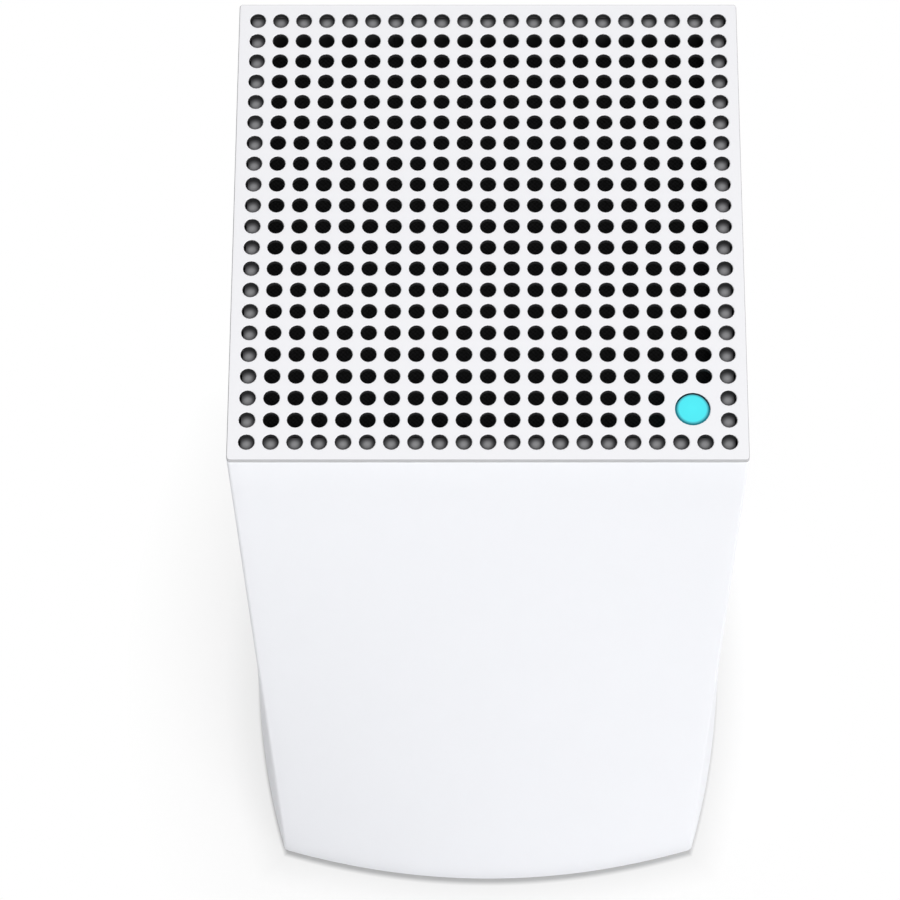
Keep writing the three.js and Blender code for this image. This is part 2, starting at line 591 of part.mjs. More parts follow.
// A finned heat sink with upright fins. side is -1 in front of the board and 1 behind it.
function heatSink(name, side, { base, fins, above, below }, screwHoleEnd) {
  const [bottom, top] = [BOARD_BOTTOM + above, BOARD_TOP - below];
  const comb = new THREE.Shape();
  const [root, tip] = [side * (SINK_FACE + base), side * (SINK_FACE + base + fins)];
  comb.moveTo(-SINK_HALF, side * SINK_FACE);
  comb.lineTo(-SINK_HALF, root);
  for (let i = 0; i < FIN.count; i++) {
    const x = (i - (FIN.count - 1) / 2) * FIN.pitch;
    for (const [dx, y] of [[-1, root], [-1, tip], [1, tip], [1, root]]) {
      comb.lineTo(x + dx * FIN.thickness / 2, y);
    }
  }
  comb.lineTo(SINK_HALF, root);
  comb.lineTo(SINK_HALF, side * SINK_FACE);
  const sink = new THREE.ExtrudeGeometry(comb, { depth: top - bottom, bevelEnabled: false });
  sink.translate(0, 0, bottom);
  const [y0, y1] = [side * (SINK_FACE - 1), side * screwHoleEnd].sort((a, b) => a - b);
  const holes = SCREW_PLACES.map(([x, z]) => rod(SINK_SCREW.shank + GAP, x, z, y0, y1, 8));
  return piece(name, cut(solidOf(sink), holes), ALUMINIUM);
}

// Four screws pull the two heat sinks together through the board.
function sinkScrews() {
  const headFace = -(SINK_FACE + FRONT_SINK.base);
  const tip = SINK_FACE + REAR_SINK.base - 1;
  return SCREW_PLACES.map(([x, z], n) => {
    const screw = piece(`sink_screw_${n + 1}`, join(
      rod(SINK_SCREW.head, 0, 0, -SINK_SCREW.headHeight, 0, 10),
      rod(SINK_SCREW.shank, 0, 0, -SINK_SCREW.headHeight / 2, tip - headFace - GAP, 8),
    ), TIN);
    screw.position.set(x, headFace, z);
    return screw;
  });
}

// A flat flexible cable from the socket board to the main board, bent in one plane.
function boardRibbon() {
  const section = roundedRectangle(9, 0.25, 0.05);
  const start = IO_BOARD.face - BOARD_THICKNESS - GAP;
  const route = new THREE.CatmullRomCurve3([
    [0, start, 38], [0, start - 3, 38.6], [0, 12, 46], [0, 4.5, 53.4], [0, BOARD_HALF + GAP, 54],
  ].map((p) => new THREE.Vector3(...p)));
  const strip = new THREE.ExtrudeGeometry(section, {
    steps: 12, bevelEnabled: false, curveSegments: 1, extrudePath: route,
  });
  return piece("board_ribbon", strip, WHITE);
}

// ---------------------------------------------------------------- socket bay

const JACK_PLACES = Array.from({ length: JACK_COUNT }, (_, n) => (n - (JACK_COUNT - 1) / 2) * JACK_PITCH);

// Everything that comes through the panel, as openings a clearance larger than the piece.
function panelCutouts() {
  const y0 = PANEL_BACK - 5;
  const y1 = PANEL_FACE + 1;
  const opening = (x, z, halfWidth, halfHeight) =>
    block([x - halfWidth - GAP, y0, z - halfHeight - GAP], [x + halfWidth + GAP, y1, z + halfHeight + GAP]);
  return [
    ...JACK_PLACES.map((x) => opening(x, JACK_Z, JACK.width / 2, JACK.height / 2)),
    opening(POWER_SOCKET.x, LOWER_ROW_Z, POWER_SOCKET.width / 2, POWER_SOCKET.height / 2),
    opening(SWITCH.x, LOWER_ROW_Z, SWITCH.half, SWITCH.halfHeight),
    opening(USB.x, LOWER_ROW_Z, USB.width / 2, USB.height / 2),
    rod(PAIR_BUTTON.radius + GAP, PAIR_BUTTON.x, LOWER_ROW_Z, y0, y1, 20),
  ];
}

// A tray set into the shell's window: a flange inside the shell, a panel, and walls out to the skin.
function portPanel() {
  const half = INNER_HALF - FLANGE.inset;
  const flange = block([-half, PANEL_BACK, RIM_TOP + GAP],
    [half, PANEL_BACK + FLANGE.thickness, BAY.top + FLANGE.above]);
  const tray = baySleeve(0, PANEL_BACK, TOP_HALF + SIDE_BOW + 5)
    .intersect(towerSlice(TRAY_INSET, SHELL_BOTTOM, SHELL_TOP));
  const bay = baySleeve(-BAY_WALL, PANEL_FACE, TOP_HALF + SIDE_BOW + 6);
  return piece("port_panel", cut(join(flange, tray), bay, panelCutouts()), WHITE);
}

// A network socket: a housing with a plug cavity and the stepped notch of the plug's latch below it.
function networkJack(name, x, material) {
  const [w, h] = [JACK.width / 2, JACK.height / 2];
  const housing = block([-w, IO_BOARD.face - JACK_FACE, -h], [w, 0, h]);
  const cavity = [
    block([-5.95, -JACK.depth, -2.2], [5.95, 1, 4.8]),
    block([-3.2, -JACK.depth, -4.2], [3.2, 1, -2]),
    block([-1.7, -JACK.depth, -5.4], [1.7, 1, -4]),
  ];
  const jack = piece(name, cut(housing, cavity), material);
  jack.position.set(x, JACK_FACE, JACK_Z);
  return jack;
}

function powerSocket() {
  const { x, width, height, bore, pin, depth } = POWER_SOCKET;
  const back = IO_BOARD.face - JACK_FACE;
  const body = block([-width / 2, back, -height / 2], [width / 2, 0, height / 2]);
  const socket = piece("power_socket", join(
    body.subtract(rod(bore, 0, 0, -depth, 1)),
    rod(pin, 0, 0, -depth - 1, -0.8, 10),
  ), BLACK);
  socket.position.set(x, JACK_FACE, LOWER_ROW_Z);
  return socket;
}

function usbSocket() {
  const { x, width, height, wall } = USB;
  const back = IO_BOARD.face - JACK_FACE;
  const [w, h] = [width / 2, height / 2];
  const shell = block([-w, back, -h], [w, 0, h])
    .subtract(block([-w + wall, back - 1, -h + wall], [w - wall, 1, h - wall]));
  const [iw, ih] = [w - wall - GAP, h - wall - GAP];
  const insert = join(
    block([-iw, back, -ih], [iw, back + 5, ih]),
    block([-5.5, back + 4, ih - 2.2], [5.5, -1, ih - 0.3]),
  );
  const pieces = [piece("usb_shell", shell, TIN), piece("usb_tongue", insert, BLACK)];
  pieces.forEach((p) => p.position.set(x, JACK_FACE, LOWER_ROW_Z));
  return pieces;
}

// The switch housing clips into the panel. Its pocket holds the rocker on two stub pins along Z.
function switchBody() {
  const { x, half, halfHeight, rim, sill, rimThickness } = SWITCH;
  const body = block([-half, IO_BOARD.face, -halfHeight], [half, PANEL_FACE + 0.5, halfHeight]);
  const lip = block([-half - rim, PANEL_FACE, -halfHeight - sill],
    [half + rim, PANEL_FACE + rimThickness, halfHeight + sill]);
  const well = ROCKER.halfHeight + ROCKER_POCKET.clearance;
  const pocket = block([-ROCKER_POCKET.half, PANEL_FACE - ROCKER_POCKET.depth, -well],
    [ROCKER_POCKET.half, PANEL_FACE + 5, well]);
  const pinEnd = well + ROCKER.pinReach + GAP;
  const pinHole = post(ROCKER.pin + GAP, 0, PIVOT_Y, -pinEnd, pinEnd, 12);
  const housing = piece("switch_body", cut(join(body, lip), pocket, pinHole), BLACK);
  housing.position.set(x, 0, LOWER_ROW_Z);
  return housing;
}

// The rocker is a shallow V that turns about its pins. At rest its -X end is pressed in.
function powerRocker() {
  const { half, halfHeight, tilt, pin, pinReach } = ROCKER;
  const profile = new THREE.Shape([
    [-half, 5.2], [-half, 1.5], [-3.4, -2.2], [3.4, -2.2], [half, 1.5], [half, 5.2], [0, 3.9],
  ].map(([x, y]) => new THREE.Vector2(x, y)));
  const paddle = new THREE.ExtrudeGeometry(profile, { depth: 2 * halfHeight, bevelEnabled: false });
  paddle.translate(0, 0, -halfHeight);
  const pinEnd = halfHeight + ROCKER_POCKET.clearance + pinReach;
  const rocker = piece("power_rocker", join(
    solidOf(paddle), post(pin, 0, 0, -pinEnd, pinEnd, 10),
  ), BLACK);
  rocker.position.set(SWITCH.x, PIVOT_Y, LOWER_ROW_Z);
  rocker.rotation.z = tilt * Math.PI / 180;
  return rocker;
}

// A push button through the panel, with a flange behind it and a stem towards its switch.
function pairButton() {
  const { x, radius, proud, travel, flange } = PAIR_BUTTON;
  const flangeFace = PANEL_BACK - GAP;
  const plungerEnd = IO_BOARD.face + TACT.height + TACT.plungerHeight;
  const button = piece("pair_button", join(
    rod(radius, 0, 0, flangeFace - 0.6, PANEL_FACE + proud, 20),
    rod(flange, 0, 0, flangeFace - 1.2, flangeFace, 20),
    rod(1.5, 0, 0, plungerEnd + travel + GAP, flangeFace - 0.6, 8),
  ), WHITE);
  button.position.set(x, 0, LOWER_ROW_Z);
  const tact = piece("pair_switch", join(
    block([-TACT.half, 0, -TACT.half], [TACT.half, TACT.height, TACT.half]),
    rod(TACT.plunger, 0, 0, TACT.height / 2, TACT.height + TACT.plungerHeight, 10),
  ), BLACK);
  tact.position.set(x, IO_BOARD.face, LOWER_ROW_Z);
  return [button, tact];
}

function ioBoard() {
  const { face, margin, drop } = IO_BOARD;
  const half = JACK_SPAN / 2 + margin;
  return piece("socket_board", block(
    [-half, face - BOARD_THICKNESS, BEAM_TOP + GAP],
    [half, face, BAY.top - drop],
  ), BOARD);
}

// ---------------------------------------------------------------- reset button, under the base

function resetPieces() {
  const { y, radius, recess, travel, flange } = RESET_BUTTON;
  const tactBottom = BUTTON_BOARD.bottom - TACT.height;
  const plungerEnd = tactBottom - 0.8;
  const flangeBottom = BASE_TOP + GAP;
  const button = piece("reset_button", join(
    post(radius, 0, 0, BASE_BOTTOM + recess, flangeBottom + 0.5, 16),
    post(flange, 0, 0, flangeBottom, flangeBottom + 1, 16),
    post(1.5, 0, 0, flangeBottom + 0.5, plungerEnd - travel - GAP, 8),
  ), RED);
  button.position.set(0, y, 0);
  const tact = piece("reset_switch", join(
    block([-TACT.half, -TACT.half, tactBottom], [TACT.half, TACT.half, BUTTON_BOARD.bottom]),
    post(TACT.plunger, 0, 0, plungerEnd, BUTTON_BOARD.bottom - 1, 10),
  ), BLACK);
  tact.position.set(0, y, 0);
  const board = piece("button_board", block(
    [-BUTTON_BOARD.half, -BUTTON_BOARD.depth, BUTTON_BOARD.bottom],
    [BUTTON_BOARD.half, BUTTON_BOARD.depth, BUTTON_BOARD.bottom + BOARD_THICKNESS],
  ), BOARD);
  board.position.set(0, y, 0);
  const top = BUTTON_BOARD.bottom + BOARD_THICKNESS;
  const wire = lead("button_lead", [
    [10, y, top + GAP], [10.5, y + 1, top + 4], [13, 6, top + 9], [15, 15, 26],
    [15, IO_BOARD.face - BOARD_THICKNESS - GAP - 0.1, 28],
  ], BLACK);
  return [button, tact, board, wire];
}

// ---------------------------------------------------------------- the router

const router = new THREE.Group();
router.name = "router";
router.add(
  outerShell(), topGrille(), grilleFrame(), dustScreen(),
  lightPipe(), ...lampPieces(),
  baseCover(), ...feetAndScrews(),
  chassisFrame(), antennaCarrier(), ...antennas(),
  mainBoard(), ...cansAndPads(),
  heatSink("heat_sink_front", -1, FRONT_SINK, SINK_FACE + FRONT_SINK.base + 1),
  heatSink("heat_sink_rear", 1, REAR_SINK, SINK_FACE + REAR_SINK.base - 1),
  ...sinkScrews(), boardRibbon(),
  portPanel(), ioBoard(),
  ...JACK_PLACES.slice(1).map((x, n) => networkJack(`lan_jack_${n + 1}`, x, BLACK)),
  networkJack("wan_jack", JACK_PLACES[0], YELLOW),
  powerSocket(), ...usbSocket(), switchBody(), powerRocker(), ...pairButton(),
  ...resetPieces(),
);
export default router;
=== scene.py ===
# The looks of a tower wireless router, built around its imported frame. Lengths are in metres: the
# object stands on z = 0, its front faces -Y, and its sockets sit in a bay at the back.
import json
import math

import bmesh
import bpy
from mathutils import Matrix, Vector


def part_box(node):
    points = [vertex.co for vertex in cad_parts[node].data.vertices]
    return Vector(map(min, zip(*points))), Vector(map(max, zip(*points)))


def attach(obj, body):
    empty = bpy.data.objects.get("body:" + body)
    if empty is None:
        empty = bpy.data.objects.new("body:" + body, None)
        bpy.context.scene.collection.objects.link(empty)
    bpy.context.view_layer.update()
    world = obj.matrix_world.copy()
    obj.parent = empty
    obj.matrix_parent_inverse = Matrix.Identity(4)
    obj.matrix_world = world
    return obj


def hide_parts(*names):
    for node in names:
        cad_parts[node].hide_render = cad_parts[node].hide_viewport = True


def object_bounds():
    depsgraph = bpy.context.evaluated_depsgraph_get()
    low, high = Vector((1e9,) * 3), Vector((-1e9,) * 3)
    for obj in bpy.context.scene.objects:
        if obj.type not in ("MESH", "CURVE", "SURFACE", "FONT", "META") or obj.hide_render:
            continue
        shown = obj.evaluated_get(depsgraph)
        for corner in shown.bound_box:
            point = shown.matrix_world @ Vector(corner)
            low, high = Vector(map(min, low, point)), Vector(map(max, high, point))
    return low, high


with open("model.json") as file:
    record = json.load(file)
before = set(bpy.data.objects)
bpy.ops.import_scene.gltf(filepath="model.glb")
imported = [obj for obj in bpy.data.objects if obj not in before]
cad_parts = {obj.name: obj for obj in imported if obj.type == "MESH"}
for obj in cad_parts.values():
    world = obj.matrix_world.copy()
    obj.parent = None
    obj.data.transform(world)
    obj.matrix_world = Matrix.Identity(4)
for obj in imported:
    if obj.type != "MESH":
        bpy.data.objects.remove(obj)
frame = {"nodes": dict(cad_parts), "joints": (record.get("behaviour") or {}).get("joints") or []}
cad_low, cad_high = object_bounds()

MM = 0.001
MERGE = 1e-6  # vertices nearer than this are one

# ---------------------------------------------------------------- sizes taken from the frame

shell_low, shell_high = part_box("outer_shell")
cap_low, cap_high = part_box("top_grille")
lens_low, lens_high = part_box("light_pipe")
tray_low, tray_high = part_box("port_panel")

TOTAL_HEIGHT = cad_high.z
TOP_HALF = cap_high.x
SIDE_BOW = shell_high.x - TOP_HALF
WALL = 2.2 * MM
CORNER_RADIUS = 0.7 * MM
CAP_THICKNESS = 1.2 * MM
CAP_BOTTOM = TOTAL_HEIGHT - CAP_THICKNESS
VENT_COUNT = 21
VENT_BORDER = 1.45 * MM
VENT_PITCH = 2 * (TOP_HALF - VENT_BORDER) / VENT_COUNT
VENT_RADIUS = 1.6 * MM
LENS_CENTRE = (lens_low + lens_high) / 2
LENS_RADIUS = 3.1 * MM
LENS_HOLE = 3.4 * MM
CELL_STEP = math.pi / 8  # a vent has 16 sides

# ---------------------------------------------------------------- camera

camera_data = bpy.data.cameras.new("camera")
camera_data.sensor_width = 36
camera_data.lens = 157.3
camera_data.shift_x = -0.0422
camera_data.shift_y = -0.0778
camera = bpy.data.objects.new("camera", camera_data)
camera.location = (0, -0.3471, 0.9288)
camera.rotation_euler = (math.radians(24.63), 0, 0)
bpy.context.scene.collection.objects.link(camera)
bpy.context.scene.camera = camera

# ---------------------------------------------------------------- finishes


class Value:
    """A number in a shader. Arithmetic on it adds the Math nodes."""

    def __init__(self, finish, socket):
        self.finish = finish
        self.socket = socket

    def maths(self, operation, *terms):
        return self.finish.node("ShaderNodeMath", {"operation": operation}, dict(enumerate(terms)))

    def __add__(self, other):
        return self.maths("ADD", self, other)

    def __radd__(self, other):
        return self.maths("ADD", other, self)

    def __sub__(self, other):
        return self.maths("SUBTRACT", self, other)

    def __rsub__(self, other):
        return self.maths("SUBTRACT", other, self)

    def __mul__(self, other):
        return self.maths("MULTIPLY", self, other)

    def __rmul__(self, other):
        return self.maths("MULTIPLY", other, self)

    def __truediv__(self, other):
        return self.maths("DIVIDE", self, other)

    def __pow__(self, other):
        return self.maths("POWER", self, other)

    def __lt__(self, other):
        return self.maths("LESS_THAN", self, other)

    def __gt__(self, other):
        return self.maths("GREATER_THAN", self, other)

    def __abs__(self):
        return self.maths("ABSOLUTE", self)

    def wave(self, length):
        """Runs from -1 to 1 and back over each length."""
        return self.maths("SINE", self * (2 * math.pi / length))


class Nodes:
    """A node tree that is written as expressions."""

    def __init__(self, tree):
        self.tree = tree

    def connect(self, socket, value):
        if isinstance(value, Value):
            self.tree.links.new(value.socket, socket)
        elif socket.type == "RGBA":
            socket.default_value = (*value[:3], 1)
        else:
            socket.default_value = value

    def node(self, kind, settings=None, sockets=None, output=0):
        """Any node: its settings go in first, then the values or links of its sockets."""
        made = self.tree.nodes.new(kind)
        settings = dict(settings or {})
        stops = settings.pop("stops", None)
        for key, value in settings.items():
            setattr(made, key, value)
        if stops:
            elements = made.color_ramp.elements
            while len(elements) < len(stops):
                elements.new(0.5)
            for element, (position, colour) in zip(elements, stops):
                element.position = position
                element.color = (*colour, 1)
        for key, value in (sockets or {}).items():
            self.connect(made.inputs[key], value)
        return Value(self, made.outputs[output])

    def seen_directly(self):
        """1 where a ray comes from the camera, from a glossy surface or through glass."""
        rays = [self.node("ShaderNodeLightPath", output=f"Is {kind} Ray")
                for kind in ("Camera", "Glossy", "Transmission")]
        return rays[0].maths("MAXIMUM", rays[0].maths("MAXIMUM", *rays[:2]), rays[2])


class Finish(Nodes):
    """A procedural material: one Principled shader, and the nodes that vary it over a piece."""

    def __init__(self, name, colour, roughness, metallic=0.0, **sockets):
        self.material = bpy.data.materials.new(name)
        self.material.use_nodes = True
        super().__init__(self.material.node_tree)
        self.shader = self.tree.nodes["Principled BSDF"]
        self.vary("Base Color", colour)
        self.vary("Roughness", roughness)
        self.vary("Metallic", metallic)
        for socket, value in sockets.items():
            self.vary(socket.replace("_", " ").title().replace("Ior", "IOR"), value)
        self.place = self.node("ShaderNodeTexCoord", output="Object")

    def vary(self, socket, value):
        self.connect(self.shader.inputs[socket], value)

    def blend(self, factor, first, second):
        """The first colour where the factor is 0, the second where it is 1."""
        return self.node(
            "ShaderNodeMix", {"data_type": "RGBA"}, {0: factor, 6: first, 7: second}, 2)

    def stretched(self, x, y, z):
        """The piece's own coordinates, drawn out along its axes."""
        return self.node(
            "ShaderNodeVectorMath", {"operation": "MULTIPLY"}, {0: self.place, 1: (x, y, z)})

    def noise(self, size, detail=2.0, place=None):
        sockets = {"Vector": place or self.place, "Scale": 1 / size, "Detail": detail}
        return self.node("ShaderNodeTexNoise", None, sockets)

    def axes(self):
        return [self.node("ShaderNodeSeparateXYZ", None, {0: self.place}, axis) for axis in "XYZ"]

    def relief(self, height, depth, strength=1.0):
        sockets = {"Height": height, "Distance": depth, "Strength": strength}
        self.vary("Normal", self.node("ShaderNodeBump", None, sockets))


def shade(colour, amount):
    return tuple(min(1, channel * amount) for channel in colour)


def moulded(name, colour, roughness, grain=0.45 * MM, depth=0.012 * MM, mottle=0.015, **sockets):
    """Injection-moulded plastic: a spark-eroded grain, a faint flow mottle and uneven gloss."""
    made = Finish(name, colour, roughness, **sockets)
    cloud = made.noise(38 * MM, 3)
    made.vary(
        "Base Color", made.blend(cloud, shade(colour, 1 - mottle), shade(colour, 1 + mottle)))
    pits = made.noise(grain, 3)
    scuffs = made.noise(6 * MM, 4, made.stretched(1, 1, 0.35))
    made.vary("Roughness", roughness - 0.05 + pits * 0.06 + scuffs * 0.05)
    made.relief(pits, depth)
    return made


def drawn_metal(name, colour, roughness, direction, depth=0.006 * MM):
    """Rolled or extruded metal, with fine lines along one direction."""
    made = Finish(name, colour, roughness, 1.0)
    lines = made.noise(0.35 * MM, 2, made.stretched(*direction))
    stain = made.noise(14 * MM, 3)
    made.vary("Base Color", made.blend(stain, shade(colour, 0.88), shade(colour, 1.06)))
    made.vary("Roughness", roughness - 0.08 + lines * 0.16)
    made.relief(lines, depth)
    return made


def circuit_board(name, colour, track, pitch):
    """Solder mask over tracks, with tinned vias."""
    made = Finish(name, colour, 0.4, coat_weight=0.25)
    cells = made.node(
        "ShaderNodeTexVoronoi", {"distance": "MANHATTAN", "feature": "F1"},
        {"Vector": made.place, "Scale": 1 / pitch})
    edges = made.node("ShaderNodeTexBrick", None, {
        "Vector": made.place, "Scale": 0.35 / pitch, "Mortar Size": 0.035,
        "Color1": (0, 0, 0), "Color2": (0, 0, 0), "Mortar": (1, 1, 1)}, 1)
    vias = cells < 0.1
    mask = made.blend(edges, colour, track)
    made.vary("Base Color", made.blend(vias, mask, (0.62, 0.62, 0.6)))
    made.vary("Metallic", vias * 0.9)
    made.vary("Roughness", 0.36 + made.noise(3 * MM) * 0.14)
    made.relief(edges * 0.6 + vias, 0.03 * MM)
    return made


WHITE_SHELL = (0.898, 0.908, 0.943)
WHITE_CAP = (0.885, 0.885, 0.91)
white = moulded("white_plastic", WHITE_SHELL, 0.54, mottle=0.006, specular_ior_level=0.2)
cap_white = moulded("cap_plastic", WHITE_CAP, 0.54, mottle=0.006, specular_ior_level=0.3)
# Near black on the shell's inner faces: painted shade in place of the shade inside the tower,
# whose inner walls are white.
inside = moulded("inner_wall_painted_shade", (0.06, 0.06, 0.062), 0.6, grain=0.7 * MM)
# Mid grey on the cap's outer edge: painted shade for the seam line between the cap and the shell.
painted_seam_shade = moulded("painted_seam_shade", (0.50, 0.50, 0.515), 0.6, mottle=0.01)
# Near black on the vent walls, the cap's underside and its legs: painted shade for the shade down
# the holes.
painted_vent_shade = moulded("painted_vent_shade", (0.02, 0.02, 0.021), 0.6)
grey = moulded("grey_plastic", (0.36, 0.36, 0.37), 0.7, grain=0.3 * MM)

# Below each blind vent the frame's top is grey, with painted shade darkening it towards the vent's
# rim. All its other faces are dark.
x_place, y_place, z_place = grey.axes()
from_middle = [(axis / VENT_PITCH + 0.5).maths("FRACT", axis / VENT_PITCH + 0.5) - 0.5
               for axis in (x_place, y_place)]
across_squared = from_middle[0] ** 2.0 + from_middle[1] ** 2.0
off_centre = across_squared.maths("SQRT", across_squared) * VENT_PITCH / VENT_RADIUS
painted_rim_shade = grey.node("ShaderNodeValToRGB", {"stops": [
    (0.0, (0.34, 0.34, 0.35)), (0.36, (0.26, 0.26, 0.27)), (0.68, (0.085, 0.085, 0.09)),
    (0.95, (0.018, 0.018, 0.02))]}, {0: off_centre})
grey.vary("Base Color", grey.blend(z_place > shell_high.z - 0.05 * MM, (0.02, 0.02, 0.021), painted_rim_shade))

charcoal = moulded("charcoal_plastic", (0.035, 0.035, 0.038), 0.55, mottle=0.12)
black = moulded("connector_black", (0.022, 0.022, 0.024), 0.38, depth=0.006 * MM, mottle=0.1)
bezel_black = moulded("bezel_black", (0.028, 0.028, 0.030), 0.5, mottle=0.1)
yellow = moulded("connector_yellow", (0.75, 0.50, 0.05), 0.42, depth=0.006 * MM, mottle=0.05)
red = moulded("button_red", (0.58, 0.05, 0.04), 0.4, depth=0.005 * MM, mottle=0.04)
mark_white = moulded("mark_white", (0.80, 0.80, 0.80), 0.55, mottle=0.02)
gold = drawn_metal("contact_gold", (0.83, 0.62, 0.27), 0.26, (1, 0.1, 1))
tin = drawn_metal("tinned_steel", (0.72, 0.73, 0.74), 0.34, (1, 0.08, 1))
zinc = drawn_metal("screw_steel", (0.62, 0.63, 0.65), 0.36, (1, 1, 0.2))
aluminium = drawn_metal("heat_sink_aluminium", (0.55, 0.56, 0.58), 0.46, (1, 1, 0.04), 0.01 * MM)
board_green = circuit_board("circuit_board", (0.02, 0.13, 0.065), (0.045, 0.22, 0.11), 2.4 * MM)

copper_board = circuit_board("antenna_board", (0.05, 0.05, 0.055), (0.10, 0.09, 0.08), 3 * MM)
_, _, up = copper_board.axes()
meander = up.wave(6.4 * MM) > 0.25
copper_board.vary(
    "Base Color", copper_board.blend(meander, (0.05, 0.05, 0.055), (0.52, 0.27, 0.12)))

rubber = Finish("foot_rubber", (0.05, 0.05, 0.052), 0.86, specular_ior_level=0.3)
crumb = rubber.noise(0.5 * MM, 4)
dust = rubber.noise(5 * MM, 3) ** 2.0
rubber.vary("Base Color", rubber.blend(dust, (0.045, 0.045, 0.047), (0.12, 0.12, 0.12)))
rubber.vary("Roughness", 0.76 + crumb * 0.18)
rubber.relief(crumb, 0.04 * MM)

# The dust screen is near black: a dark sheet under the vents, painted shade that keeps the holes
# dark.
screen = Finish("screen_mesh", (0.010, 0.010, 0.011), 0.75, specular_ior_level=0.2)
across, along, _ = screen.axes()
weave = across.wave(0.9 * MM) * along.wave(0.9 * MM)
screen.vary("Base Color", screen.blend(
    weave * 0.5 + 0.5, (0.005, 0.005, 0.005), (0.014, 0.014, 0.015)))
screen.relief(weave, 0.05 * MM)

pad = Finish("thermal_pad", (0.35, 0.50, 0.62), 0.8)
fibres = pad.noise(0.8 * MM, 4)
pad.vary("Base Color", pad.blend(fibres, (0.30, 0.44, 0.55), (0.40, 0.55, 0.67)))
pad.relief(fibres, 0.03 * MM)

ribbon = Finish("ribbon_cable", (0.85, 0.86, 0.88), 0.45)
across, _, _ = ribbon.axes()
strips = across.wave(1 * MM) > 0.2
ribbon.vary("Base Color", ribbon.blend(strips, (0.86, 0.87, 0.88), (0.58, 0.56, 0.54)))
ribbon.vary("Roughness", 0.38 + ribbon.noise(3 * MM) * 0.12)
ribbon.relief(strips, 0.02 * MM)

wire = Finish("wire_jacket", (0.03, 0.03, 0.032), 0.5)
skin = wire.noise(0.9 * MM, 3)
wire.vary("Base Color", wire.blend(skin, (0.024, 0.024, 0.026), (0.045, 0.045, 0.047)))
wire.vary("Roughness", 0.42 + skin * 0.16)
wire.relief(skin, 0.01 * MM)

# The light pipe glows from below: evenly over its face, and less at its rim.
lens = Finish("light_lens", (0.008, 0.07, 0.085), 0.22, coat_weight=0.2, emission_strength=1.0)
x_place, y_place, _ = lens.axes()
radius_squared = (x_place - LENS_CENTRE.x) ** 2.0 + (y_place - LENS_CENTRE.y) ** 2.0
rim = radius_squared.maths("SQRT", radius_squared) / LENS_RADIUS
glow = lens.node("ShaderNodeValToRGB", {"stops": [
    (0.0, (0.042, 0.77, 0.84)), (0.84, (0.038, 0.73, 0.80)),
    (0.93, (0.030, 0.40, 0.47)), (1.0, (0.012, 0.16, 0.20))]}, {0: rim})
lens.vary("Emission Color", glow)
lens.vary("Roughness", 0.18 + lens.noise(0.6 * MM) * 0.1)

lamp = Finish("lamp_lens", (0.75, 0.78, 0.70), 0.3)
lamp.vary("Roughness", 0.22 + lamp.noise(0.4 * MM) * 0.16)
link_window = Finish("link_window", (0.16, 0.30, 0.12), 0.2, coat_weight=0.5)
haze = link_window.noise(0.5 * MM, 2)
link_window.vary("Base Color", link_window.blend(haze, (0.13, 0.26, 0.10), (0.22, 0.38, 0.16)))

# ---------------------------------------------------------------- making pieces


def make_piece(
        name, bm, finishes, body="casing", replaces=(), sharp=35, weighted=False):
    """Turns a bmesh into a piece that rides on a body and stands for CAD nodes."""
    mesh = bpy.data.meshes.new(name)
    bm.to_mesh(mesh)
    bm.free()
    for finish in finishes:
        mesh.materials.append(finish.material)
    mesh.shade_smooth()
    mesh.set_sharp_from_angle(angle=math.radians(sharp))
    piece = bpy.data.objects.new(name, mesh)
    bpy.context.scene.collection.objects.link(piece)
    if weighted:
        modifier = piece.modifiers.new("flat_faces", "WEIGHTED_NORMAL")
        modifier.keep_sharp = True
    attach(piece, body)
    if replaces:
        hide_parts(*replaces)
    return piece


def round_edges(bm, edges, width, segments, clamp=False):
    bmesh.ops.bevel(
        bm, geom=edges, offset=width, offset_type="OFFSET", segments=segments, profile=0.5,
        affect="EDGES", clamp_overlap=clamp, material=-1)


def merge(bm):
    bmesh.ops.remove_doubles(bm, verts=bm.verts, dist=MERGE)


def slab(bm, low, high, turn=None):
    """Adds a box between two corners, or turned about its middle. Returns its vertices."""
    low, high = Vector(low), Vector(high)
    matrix = Matrix.LocRotScale((low + high) / 2, turn, high - low)
    return bmesh.ops.create_cube(bm, size=1, matrix=matrix)["verts"]


def edges_within(bm, verts):
    chosen = set(verts)
    return [e for e in bm.edges if chosen.issuperset(e.verts)]


def turned(profile, centre, along="Z", steps=48):
    """A round piece from its (radius, height) profile, about an axis through the centre."""
    bm = bmesh.new()
    points = [bm.verts.new((radius, 0, height)) for radius, height in profile]
    lines = [bm.edges.new(pair) for pair in zip(points, points[1:])]
    bmesh.ops.spin(
        bm, geom=points + lines, angle=2 * math.pi, steps=steps, axis=(0, 0, 1), cent=(0, 0, 0),
        use_merge=True)
    merge(bm)
    bmesh.ops.recalc_face_normals(bm, faces=bm.faces)
    if along == "Y":
        turn = Matrix.Rotation(-math.pi / 2, 3, "X")
        bmesh.ops.rotate(bm, verts=bm.verts, cent=(0, 0, 0), matrix=turn)
    bmesh.ops.translate(bm, verts=bm.verts, vec=centre)
    return bm


def rounded_profile(corners, radius, steps=4):
    """A profile whose inner corners are rounded, from a list of (radius, height) points."""
    points = [Vector(c) for c in corners]
    profile = [points[0]]
    for before, corner, after in zip(points, points[1:], points[2:]):
        reach = min(radius, (before - corner).length / 2, (after - corner).length / 2)
        start = corner + (before - corner).normalized() * reach
        end = corner + (after - corner).normalized() * reach
        for step in range(steps + 1):
            t = step / steps
            profile.append(start * (1 - t) ** 2 + corner * 2 * t * (1 - t) + end * t ** 2)
    profile.append(points[-1])
    return [tuple(p) for p in profile]


